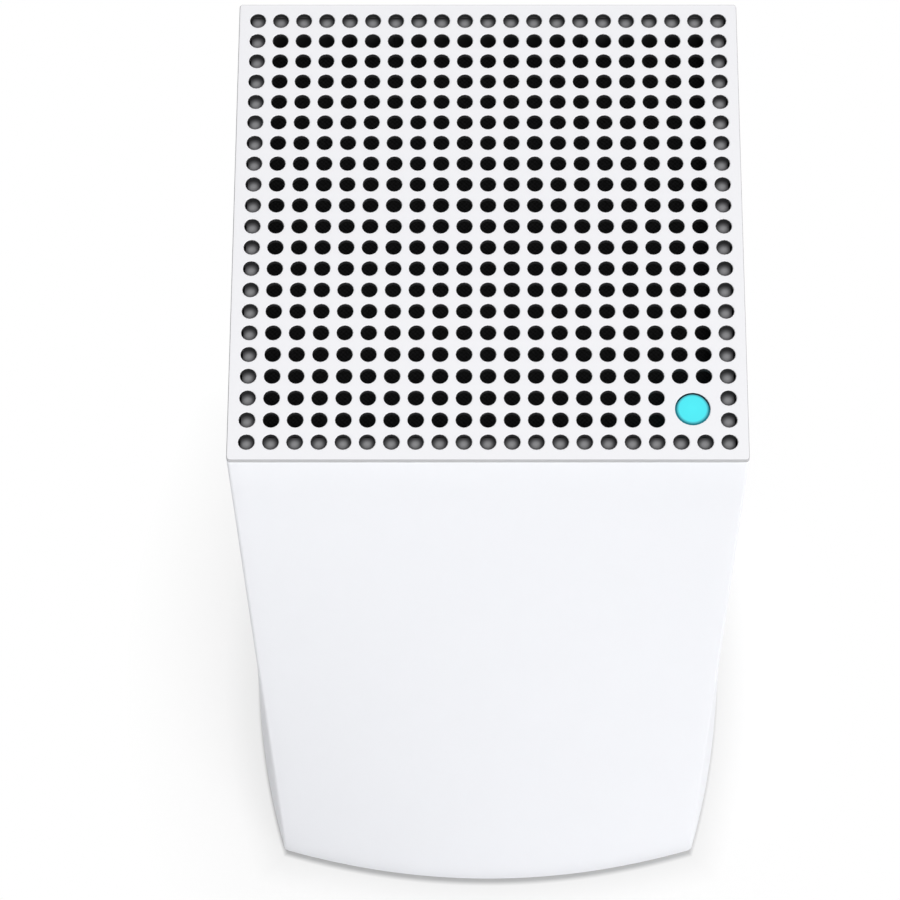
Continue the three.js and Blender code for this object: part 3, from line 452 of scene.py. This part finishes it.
def softened(node, width, segments=2):
    """A copy of a CAD node's mesh with its sharp edges rounded."""
    bm = bmesh.new()
    bm.from_mesh(frame["nodes"][node].data)
    merge(bm)
    bmesh.ops.dissolve_limit(bm, angle_limit=math.radians(1), verts=bm.verts, edges=bm.edges)
    sharp = [e for e in bm.edges if e.is_manifold and e.calc_face_angle() > math.radians(35)]
    round_edges(bm, sharp, width, segments, clamp=True)
    return bm


# ---------------------------------------------------------------- tower shell


def skin_depth(x, y):
    """How far a point of the square section lies outside the shell's skin; negative inside."""
    straight = TOP_HALF - CORNER_RADIUS
    dx, dy = abs(x) - straight, abs(y) - straight
    return math.hypot(max(dx, 0), max(dy, 0)) + min(max(dx, dy), 0) - CORNER_RADIUS


def swell(bm):
    """Bows each wall outwards, from nothing at the top to the full bow at the base."""
    for vert in bm.verts:
        x, y, z = vert.co
        bow = SIDE_BOW * (TOTAL_HEIGHT - z) / (TOTAL_HEIGHT - shell_low.z)
        half = TOP_HALF + min(max(skin_depth(x, y), -WALL), 0)
        vert.co.x += math.copysign(bow * (1 - (y / half) ** 2), x)
        vert.co.y += math.copysign(bow * (1 - (x / half) ** 2), y)


def square_tube(bm, half, radius):
    """Adds an open upright tube with round corners."""
    verts = slab(bm, (-half, -half, shell_low.z), (half, half, shell_high.z))
    own = set(verts)
    caps = [f for f in bm.faces if own.issuperset(f.verts) and abs(f.normal.z) > 0.9]
    bmesh.ops.delete(bm, geom=caps, context="FACES_ONLY")
    uprights = [e for e in edges_within(bm, verts)
                if abs(e.verts[0].co.z - e.verts[1].co.z) > half]
    round_edges(bm, uprights, radius, 6)


def slice_mesh(bm, places, axis, keep=lambda face: True):
    """Cuts the chosen faces along planes across one axis."""
    normal = Vector([float(k == axis) for k in range(3)])
    for place in places:
        faces = [f for f in bm.faces if keep(f)]
        edges = {e for f in faces for e in f.edges}
        verts = {v for f in faces for v in f.verts}
        bmesh.ops.bisect_plane(
            bm, geom=faces + list(edges) + list(verts), dist=MERGE, plane_co=normal * place,
            plane_no=normal)


def tower_shell():
    window_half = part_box("lan_jack_3")[1].x + 5.9 * MM
    window_low = tray_low.z + 0.4 * MM
    window_high = tray_high.z - 2.7 * MM
    middle = (window_low + window_high) / 2
    bm = bmesh.new()
    square_tube(bm, TOP_HALF, CORNER_RADIUS)
    outer = set(bm.faces)
    square_tube(bm, TOP_HALF - WALL, 0.5 * MM)
    bmesh.ops.reverse_faces(bm, faces=[f for f in bm.faces if f not in outer])

    # The window for the socket bay goes through both skins of the back wall.
    def back(face):
        return abs(face.normal.y) > 0.99 and face.calc_center_median().y > 0

    slice_mesh(bm, (-window_half, 0, window_half), 0, back)
    slice_mesh(bm, (window_low, middle, window_high), 2, back)
    hole = [f for f in bm.faces if back(f) and abs(f.calc_center_median().x) < window_half
            and window_low < f.calc_center_median().z < window_high]
    bmesh.ops.delete(bm, geom=hole, context="FACES")

    def at_corner(vert):
        return (abs(abs(vert.co.x) - window_half) < MERGE and vert.co.y > 0
                and min(abs(vert.co.z - window_low), abs(vert.co.z - window_high)) < MERGE)

    spokes = [e for e in bm.edges
              if not e.is_boundary and (at_corner(e.verts[0]) or at_corner(e.verts[1]))]
    bmesh.ops.dissolve_edges(bm, edges=spokes, use_verts=False)

    def in_window(edge):
        return all(v.co.y > 0 and abs(v.co.x) < window_half + MERGE
                   and window_low - MERGE < v.co.z < window_high + MERGE for v in edge.verts)

    reveal = [e for e in bm.edges if e.is_boundary and in_window(e)]
    bmesh.ops.bridge_loops(bm, edges=reveal)
    through = [e for e in bm.edges if at_corner(e.verts[0]) and at_corner(e.verts[1])
               and abs(e.verts[0].co.y - e.verts[1].co.y) > WALL / 2]
    round_edges(bm, through, 3.3 * MM, 6)

    for level in (shell_low.z, shell_high.z):
        rim_edges = [e for e in bm.edges
                     if e.is_boundary and all(abs(v.co.z - level) < MERGE for v in e.verts)]
        bmesh.ops.bridge_loops(bm, edges=rim_edges)
    merge(bm)
    rims = [e for e in bm.edges if e.is_manifold and e.calc_face_angle() > math.radians(60)
            and all(skin_depth(v.co.x, v.co.y) > -MERGE for v in e.verts)]
    round_edges(bm, rims, 0.3 * MM, 3)

    spread = [k * 3.3 * MM for k in range(-14, 15)]
    slice_mesh(bm, spread, 0)
    slice_mesh(bm, spread, 1)
    levels = int(TOTAL_HEIGHT / (12 * MM))
    slice_mesh(bm, [TOTAL_HEIGHT * k / levels for k in range(1, levels)], 2)
    bm.normal_update()
    # The inner skin and the inner part of the top rim take the near-black finish: painted shade.
    for face in bm.faces:
        centre = face.calc_center_median()
        depth = skin_depth(centre.x, centre.y)
        on_top = centre.z > shell_high.z - 0.1 * MM and depth < -0.35 * MM
        face.material_index = int(depth < -WALL * 0.9 or on_top)
    swell(bm)
    make_piece("tower_shell", bm, [white, inside], replaces=["outer_shell"])


# ---------------------------------------------------------------- vented cap


def cell_point(angle, cells):
    """A point on the edge of a square cell, among the points that neighbouring cells share."""
    steps = 2 * cells
    index = round(angle / (math.pi / 4 / steps)) + steps
    side, along = divmod(index, 2 * steps)
    along -= steps
    shift = math.copysign(VENT_PITCH / 2, along) if cells == 2 else 0
    local = along - math.copysign(2, along) if cells == 2 else along
    offset = shift + VENT_PITCH / 2 * math.tan(local * CELL_STEP)
    half = cells * VENT_PITCH / 2
    c, s = round(math.cos(side * math.pi / 2)), round(math.sin(side * math.pi / 2))
    return half * c - offset * s, half * s + offset * c


def ring_out(bm, edges, place):
    """Extrudes a loop of edges and places its new vertices. Returns the new loop."""
    made = bmesh.ops.extrude_edge_only(bm, edges=edges)["geom"]
    verts = [g for g in made if isinstance(g, bmesh.types.BMVert)]
    for vert in verts:
        vert.co = place(vert.co)
    return edges_of(made, verts)


def edges_of(geometry, verts):
    chosen = set(verts)
    return [g for g in geometry
            if isinstance(g, bmesh.types.BMEdge) and chosen.issuperset(g.verts)]


def vent_cell(bm, radius, cells, lip=0.12 * MM):
    """One square of the cap around a round hole with a soft lip."""
    ring = bmesh.ops.create_circle(
        bm, segments=16 * cells, radius=radius + lip,
        matrix=Matrix.Translation((0, 0, TOTAL_HEIGHT)))["verts"]
    mouth = edges_within(bm, ring)

    def to_square(level):
        return lambda co: Vector((*cell_point(math.atan2(co.y, co.x), cells), level))

    def to_circle(size, level):
        return lambda co: Vector((*(co.to_2d().normalized() * size), level))

    ring_out(bm, mouth, to_square(TOTAL_HEIGHT))
    wall = ring_out(bm, mouth, to_circle(radius, TOTAL_HEIGHT - lip))
    floor = ring_out(bm, wall, to_circle(radius, CAP_BOTTOM))
    ring_out(bm, floor, to_square(CAP_BOTTOM))
    # Faces below the lip take the near-black finish: painted shade on the vent walls and
    # underside.
    for face in bm.faces:
        face.material_index = int(face.calc_center_median().z < TOTAL_HEIGHT - lip)


def repeat(bm, count, step, axis):
    """Lays copies of everything in the mesh along an axis, centred on where it was."""
    start = bm.verts[:] + bm.edges[:] + bm.faces[:]
    direction = Vector([float(k == axis) for k in range(3)]) * step
    for n in range(1, count):
        copy = bmesh.ops.duplicate(bm, geom=start)["geom"]
        verts = [g for g in copy if isinstance(g, bmesh.types.BMVert)]
        bmesh.ops.translate(bm, verts=verts, vec=direction * n)
    bmesh.ops.translate(bm, verts=bm.verts, vec=direction * (1 - count) / 2)


def vented_cap():
    bm = bmesh.new()
    vent_cell(bm, VENT_RADIUS, 1)
    repeat(bm, VENT_COUNT, VENT_PITCH, 0)
    repeat(bm, VENT_COUNT, VENT_PITCH, 1)

    # One larger hole takes the place of the four vents around the light.
    def under_lens(face):
        offset = face.calc_center_median() - LENS_CENTRE
        return max(abs(offset.x), abs(offset.y)) < VENT_PITCH

    bmesh.ops.delete(bm, geom=[f for f in bm.faces if under_lens(f)], context="FACES")
    large = bmesh.new()
    vent_cell(large, LENS_HOLE, 2)
    bmesh.ops.translate(large, verts=large.verts, vec=(LENS_CENTRE.x, LENS_CENTRE.y, 0))
    mesh = bpy.data.meshes.new("lens_cell")
    large.to_mesh(mesh)
    large.free()
    bm.from_mesh(mesh)
    bpy.data.meshes.remove(mesh)
    merge(bm)

    # The border: a thin slab with round corners, opened above and below and joined to the grid.
    border = slab(bm, (-TOP_HALF, -TOP_HALF, CAP_BOTTOM), (TOP_HALF, TOP_HALF, TOTAL_HEIGHT))
    uprights = [e for e in edges_within(bm, border)
                if abs(e.verts[0].co.z - e.verts[1].co.z) > CAP_THICKNESS / 2]
    round_edges(bm, uprights, CORNER_RADIUS, 6)
    for level, size, steps in ((TOTAL_HEIGHT, 0.24 * MM, 4), (CAP_BOTTOM, 0.1 * MM, 2)):
        lid = [f for f in bm.faces if f.calc_area() > TOP_HALF ** 2
               and abs(f.calc_center_median().z - level) < MERGE]
        round_edges(bm, [e for f in lid for e in f.edges], size, steps)
    lids = [f for f in bm.faces if f.calc_area() > TOP_HALF ** 2]
    bmesh.ops.delete(bm, geom=lids, context="FACES_ONLY")
    for level in (TOTAL_HEIGHT, CAP_BOTTOM):
        loops = [e for e in bm.edges
                 if e.is_boundary and all(abs(v.co.z - level) < MERGE for v in e.verts)]
        made = bmesh.ops.triangle_fill(
            bm, use_beauty=True, use_dissolve=False, edges=loops)["geom"]
        for face in made:
            if isinstance(face, bmesh.types.BMFace):
                face.material_index = int(level == CAP_BOTTOM)
    merge(bm)
    bmesh.ops.recalc_face_normals(bm, faces=bm.faces)
    # The cap's outer edge takes the grey: painted shade along the seam with the shell.
    for face in bm.faces:
        centre = face.calc_center_median()
        if skin_depth(centre.x, centre.y) > -0.14 * MM:
            face.material_index = 2

    # Snap legs hang below the cap, between its last two rows of vents.
    leg_inner = VENT_PITCH * (VENT_COUNT - 2) / 2 - 0.45 * MM
    half_leg = 4 * MM
    for quarter in range(4):
        turn = Matrix.Rotation(quarter * math.pi / 2, 3, "Z")
        for place in (-5, 5):
            y = place * VENT_PITCH
            leg = slab(bm, (leg_inner, y - half_leg, cap_low.z),
                       (leg_inner + 0.9 * MM, y + half_leg, CAP_BOTTOM))
            leg += slab(bm, (leg_inner + 0.7 * MM, y - half_leg, cap_low.z),
                        (leg_inner + 1.9 * MM, y + half_leg, cap_low.z + 2 * MM))
            bmesh.ops.rotate(bm, verts=leg, cent=(0, 0, 0), matrix=turn)
            for face in {f for v in leg for f in v.link_faces}:
                face.material_index = 1
    make_piece("vented_cap", bm, [cap_white, painted_vent_shade, painted_seam_shade],
               replaces=["top_grille"], weighted=True)


def status_lens():
    """The light pipe: a low crown, a flange under the cap, and a stem down to the lamp."""
    flange, stem = 4.3 * MM, 2.5 * MM
    flange_top, flange_bottom = CAP_BOTTOM - 0.3 * MM, CAP_BOTTOM - 1.9 * MM
    crown = [(LENS_RADIUS * math.sin(a), TOTAL_HEIGHT - 0.14 * MM * (1 - math.cos(a)))
             for a in [k * math.pi / 16 for k in range(8)]]
    body = rounded_profile([
        crown[-1], (LENS_RADIUS, TOTAL_HEIGHT - 0.4 * MM), (LENS_RADIUS, flange_top),
        (flange, flange_top), (flange, flange_bottom), (stem, flange_bottom),
        (stem, lens_low.z), (0, lens_low.z)], 0.1 * MM)
    bm = turned(crown + body[1:], (LENS_CENTRE.x, LENS_CENTRE.y, 0))
    make_piece("status_lens", bm, [lens], replaces=["light_pipe"], sharp=50)


# ---------------------------------------------------------------- base


def rubber_foot(number):
    low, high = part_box(f"rubber_foot_{number}")
    centre = (low + high) / 2
    reach = (high.x - low.x) / 2
    profile = rounded_profile([
        (0, 0.35 * MM), (reach * 0.60, 0.35 * MM), (reach * 0.66, 0), (reach * 0.93, 0),
        (reach, 0.35 * MM), (reach, high.z), (0, high.z)], 0.18 * MM)
    bm = turned(profile, (centre.x, centre.y, 0), steps=64)
    make_piece(f"foot_{number}", bm, [rubber],
               replaces=[f"rubber_foot_{number}"])


def base_plate():
    bm = softened("base_cover", 0.2 * MM)
    make_piece("base_plate", bm, [white], replaces=["base_cover"],
               weighted=True)


def reset_cap():
    low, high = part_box("reset_button")
    centre = (low + high) / 2
    reach = (high.x - low.x) / 2
    top = 3.5 * MM
    profile = rounded_profile([
        (0, low.z + 0.25 * MM), (1.6 * MM, low.z), (2.5 * MM, low.z), (2.5 * MM, top),
        (reach, top), (reach, top + MM), (1.5 * MM, top + MM), (1.5 * MM, high.z), (0, high.z)],
        0.25 * MM)
    bm = turned(profile, (centre.x, centre.y, 0))
    make_piece("reset_cap", bm, [red], "reset", ["reset_button"])


# ---------------------------------------------------------------- socket bay

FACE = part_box("lan_jack_1")[1].y  # the plane of the sockets' faces


def socket_tray():
    bm = softened("port_panel", 0.25 * MM, 3)
    make_piece("socket_tray", bm, [white], replaces=["port_panel"],
               weighted=True)


def network_jack(node, finish):
    """A network socket with eight sprung contacts and two link-light windows."""
    make_piece(f"{node}_housing", softened(node, 0.2 * MM, 3), [finish],
               replaces=[node], weighted=True)
    low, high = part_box(node)
    centre = (low + high) / 2
    contacts = bmesh.new()
    lean = Matrix.Rotation(math.radians(-24), 3, "X").to_quaternion()
    for n in range(8):
        x = centre.x + (n - 3.5) * 1.02 * MM
        slab(contacts, (x - 0.2 * MM, FACE - 11.6 * MM, centre.z + 1.75 * MM),
             (x + 0.2 * MM, FACE - 3.2 * MM, centre.z + 2.05 * MM), lean)
    round_edges(contacts, contacts.edges[:], 0.06 * MM, 2)
    make_piece(f"{node}_contacts", contacts, [gold])
    windows = bmesh.new()
    for side in (-1, 1):
        x = centre.x + side * 5.2 * MM
        slab(windows, (x - 1.3 * MM, FACE - 0.5 * MM, high.z - 1.45 * MM),
             (x + 1.3 * MM, FACE + 0.08 * MM, high.z - 0.45 * MM))
    round_edges(windows, windows.edges[:], 0.07 * MM, 2)
    make_piece(f"{node}_windows", windows, [link_window])


def power_inlet():
    """A barrel socket: a block with a round bore, and its centre pin."""
    low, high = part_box("power_socket")
    centre = (low + high) / 2
    bore, depth, lip = 3.1 * MM, 10 * MM, 0.35 * MM
    bm = bmesh.new()
    ring = bmesh.ops.create_circle(bm, segments=48, radius=bore + lip)["verts"]
    mouth = edges_within(bm, ring)
    half_width, half_height = (high.x - low.x) / 2, (high.z - low.z) / 2

    def to_edge(level):
        def place(co):
            flat = co.to_2d()
            size = min(half_width / max(abs(flat.x), 1e-9), half_height / max(abs(flat.y), 1e-9))
            return Vector((*(flat * size), level))
        return place

    def to_circle(size, level):
        return lambda co: Vector((*(co.to_2d().normalized() * size), level))

    front = ring_out(bm, mouth, to_edge(0))
    for x in (-half_width, half_width):
        for y in (-half_height, half_height):
            nearest = min((v for e in front for v in e.verts),
                          key=lambda v: (v.co.to_2d() - Vector((x, y))).length)
            nearest.co.xy = (x, y)
    back_level = low.y - FACE
    rear = ring_out(bm, front, lambda co: Vector((co.x, co.y, back_level)))
    bmesh.ops.contextual_create(bm, geom=rear)
    wall = mouth
    for step in range(1, 4):
        angle = step * math.pi / 6
        size = bore + lip * (1 - math.sin(angle))
        wall = ring_out(bm, wall, to_circle(size, -lip * (1 - math.cos(angle))))
    bottom = ring_out(bm, wall, to_circle(bore, -depth))
    bmesh.ops.contextual_create(bm, geom=bottom)
    bmesh.ops.recalc_face_normals(bm, faces=bm.faces)
    turn = Matrix.Rotation(-math.pi / 2, 3, "X")
    bmesh.ops.rotate(bm, verts=bm.verts, cent=(0, 0, 0), matrix=turn)
    bmesh.ops.translate(bm, verts=bm.verts, vec=(centre.x, FACE, centre.z))
    make_piece("power_inlet", bm, [black], replaces=["power_socket"],
               weighted=True)
    pin = rounded_profile([(0, -0.8 * MM), (1 * MM, -0.8 * MM), (1 * MM, -depth - 0.2 * MM),
                           (0, -depth - 0.2 * MM)], 0.7 * MM, 8)
    make_piece("power_pin", turned(pin, (centre.x, FACE, centre.z), "Y"), [tin])
    spring = bmesh.new()
    slab(spring, (centre.x - 0.9 * MM, FACE - 8.5 * MM, centre.z - bore),
         (centre.x + 0.9 * MM, FACE - 2.5 * MM, centre.z - bore + 0.35 * MM))
    round_edges(spring, spring.edges[:], 0.1 * MM, 2)
    make_piece("power_spring", spring, [tin])


def usb_port():
    make_piece("usb_can", softened("usb_shell", 0.12 * MM, 2), [tin],
               replaces=["usb_shell"], weighted=True)
    make_piece("usb_insert", softened("usb_tongue", 0.18 * MM, 2), [black],
               replaces=["usb_tongue"], weighted=True)
    low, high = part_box("usb_shell")
    centre = (low + high) / 2
    pads = bmesh.new()
    for offset in (-3.5, -1.0, 1.0, 3.5):
        x = centre.x + offset * MM
        slab(pads, (x - 0.5 * MM, FACE - 8.4 * MM, centre.z - 0.1 * MM),
             (x + 0.5 * MM, FACE - 1.9 * MM, centre.z + 0.05 * MM))
    round_edges(pads, pads.edges[:], 0.04 * MM, 2)
    make_piece("usb_contacts", pads, [gold])


def power_switch():
    """The switch's bezel, its rocker, and the marks on the rocker's two ends."""
    make_piece("switch_bezel", softened("switch_body", 0.3 * MM, 3), [bezel_black],
               replaces=["switch_body"], weighted=True)
    make_piece("rocker_paddle", softened("power_rocker", 0.35 * MM, 3), [black], "rocker",
               ["power_rocker"], weighted=True)
    hinge = next(j for j in frame["joints"] if j["child"] == "rocker")
    pivot = Vector(hinge["pos_m"])
    rest = Matrix.Translation(pivot) @ Matrix.Rotation(math.radians(10), 4, "Z")
    valley, slope = 3.9 * MM, math.atan2(1.3, 6.6)
    inner, outer = 0.85 * MM, 1.2 * MM
    sunk, proud = -0.05 * MM, 0.035 * MM
    marks = bmesh.new()
    for side in (-1, 1):
        place = Vector((side * 3.7 * MM, valley + 3.7 * MM * math.tan(slope), 0))
        if side < 0:
            made = slab(marks, (-0.2 * MM, sunk, -outer), (0.2 * MM, proud, outer))
        else:
            ring = turned([(inner, sunk), (inner, proud), (outer, proud), (outer, sunk),
                           (inner, sunk)], (0, 0, 0), "Y", 40)
            mesh = bpy.data.meshes.new("ring_mark")
            ring.to_mesh(mesh)
            ring.free()
            before = set(marks.verts)
            marks.from_mesh(mesh)
            bpy.data.meshes.remove(mesh)
            made = [v for v in marks.verts if v not in before]
        local = Matrix.Translation(place) @ Matrix.Rotation(side * slope, 4, "Z")
        bmesh.ops.transform(marks, matrix=rest @ local, verts=made)
    make_piece("rocker_marks", marks, [mark_white], "rocker")


def pair_cap():
    low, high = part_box("pair_button")
    centre = (low + high) / 2
    flange = (high.x - low.x) / 2
    face = high.y
    flange_face = tray_low.y - 0.3 * MM
    profile = rounded_profile([
        (0, face - 0.35 * MM), (2.2 * MM, face - 0.12 * MM), (2.9 * MM, face), (3.5 * MM, face),
        (3.5 * MM, flange_face), (flange, flange_face), (flange, flange_face - 1.2 * MM),
        (1.5 * MM, flange_face - 1.2 * MM), (1.5 * MM, low.y), (0, low.y)], 0.3 * MM)
    bm = turned(profile, (centre.x, 0, centre.z), "Y", 56)
    make_piece("pair_cap", bm, [white], "pairing", ["pair_button"])


# ---------------------------------------------------------------- CAD nodes that stay

KEPT = {
    grey: ["grille_frame"],
    screen: ["dust_screen"],
    charcoal: ["chassis_frame", "antenna_carrier"],
    board_green: ["lamp_board", "main_board", "socket_board", "button_board"],
    copper_board: [f"antenna_{n}" for n in range(1, 5)],
    wire: ["lamp_lead", "button_lead"] + [f"antenna_lead_{n}" for n in range(1, 5)],
    tin: [f"shield_can_{n}" for n in range(1, 5)],
    pad: [f"thermal_pad_{n}" for n in range(1, 5)],
    aluminium: ["heat_sink_front", "heat_sink_rear"],
    zinc: [f"{kind}_screw_{n}" for kind in ("base", "sink") for n in range(1, 5)],
    ribbon: ["board_ribbon"],
    black: ["pair_switch", "reset_switch"],
    lamp: ["status_lamp"],
}


def finish_kept_nodes():
    for finish, nodes in KEPT.items():
        for node in nodes:
            mesh = frame["nodes"][node].data
            mesh.materials.clear()
            mesh.materials.append(finish.material)


# ---------------------------------------------------------------- the router

tower_shell()
vented_cap()
status_lens()
base_plate()
for number in range(1, 5):
    rubber_foot(number)
reset_cap()
socket_tray()
network_jack("wan_jack", yellow)
for number in range(1, 4):
    network_jack(f"lan_jack_{number}", black)
power_inlet()
usb_port()
power_switch()
pair_cap()
finish_kept_nodes()

# ---------------------------------------------------------------- floor and light


def area_light(name, location, target, size, power, colour=(1, 1, 1)):
    data = bpy.data.lights.new(name, "AREA")
    data.shape = "SQUARE"
    data.size = size
    data.energy = power
    data.color = colour
    light = bpy.data.objects.new(name, data)
    light.location = location
    direction = Vector(target) - Vector(location)
    light.rotation_euler = direction.to_track_quat("-Z", "Y").to_euler()
    bpy.context.scene.collection.objects.link(light)


def studio_floor():
    """A pale floor, white to the camera. By the base it is painted darker, a painted shadow, and
    there it also keeps the real shadow.
    """
    bm = bmesh.new()
    bmesh.ops.create_grid(bm, x_segments=4, y_segments=4, size=6)
    mesh = bpy.data.meshes.new("studio_floor")
    bm.to_mesh(mesh)
    bm.free()
    floor = bpy.data.objects.new("studio_floor", mesh)
    bpy.context.scene.collection.objects.link(floor)
    pale, painted_base_shadow = (0.9, 0.9, 0.9), (0.56, 0.56, 0.56)
    paint = Finish("floor_paint", pale, 1.0, specular_ior_level=0)
    x, y, _ = paint.axes()
    sides = [abs(u) - (TOP_HALF + SIDE_BOW * (1 - (v / TOP_HALF) ** 2.0))
             for u, v in ((x, y), (y, x))]
    clear = sides[0].maths("MAXIMUM", *sides)
    # Painted shadow: the floor's colour darkens under the base and over the 9 mm around it.
    apart = paint.node("ShaderNodeMapRange", None, {0: clear, 1: 0, 2: 9 * MM})
    paint.vary("Base Color", paint.blend(apart, painted_base_shadow, pale))
    near = paint.node(
        "ShaderNodeMapRange", None, {0: clear, 1: -0.5 * MM, 2: 0.7 * MM, 3: 0, 4: 0.76})
    far = paint.node(
        "ShaderNodeMapRange", None, {0: clear, 1: 4 * MM, 2: 34 * MM, 3: 0, 4: 0.24})
    glow = paint.node("ShaderNodeEmission", None, {"Color": (1, 1, 1), "Strength": 1.0})
    mixed = paint.node("ShaderNodeMixShader", None, {0: paint.seen_directly() * (near + far)})
    mixer = mixed.socket.node
    paint.tree.links.new(paint.shader.outputs[0], mixer.inputs[1])
    paint.tree.links.new(glow.socket, mixer.inputs[2])
    paint.tree.links.new(mixed.socket, paint.tree.nodes["Material Output"].inputs["Surface"])
    mesh.materials.append(paint.material)


def studio_world(strength, lean):
    """A soft sky, darker to the left by the lean, and white where it is seen."""
    world = bpy.data.worlds.new("studio")
    bpy.context.scene.world = world
    world.use_nodes = True
    sky = Nodes(world.node_tree)
    background = world.node_tree.nodes["Background"]
    background.inputs["Color"].default_value = (1, 1, 1, 1)
    direction = sky.node("ShaderNodeTexCoord", output="Generated")
    soft = strength + sky.node("ShaderNodeSeparateXYZ", None, {0: direction}, "X") * lean
    seen = sky.seen_directly()
    sky.connect(background.inputs["Strength"], soft * (1 - seen) + seen)


studio_floor()
studio_world(0.50, 0.36)
area_light("key", (0.45, -1.15, 1.8), (0, 0, 0.14), 1.1, 25)
area_light("back_fill", (0, 1.5, 0.45), (0, 0, 0.12), 0.8, 7)
bpy.context.scene.view_settings.view_transform = "Standard"

# ---------------------------------------------------------------- the end

bpy.context.view_layer.update()
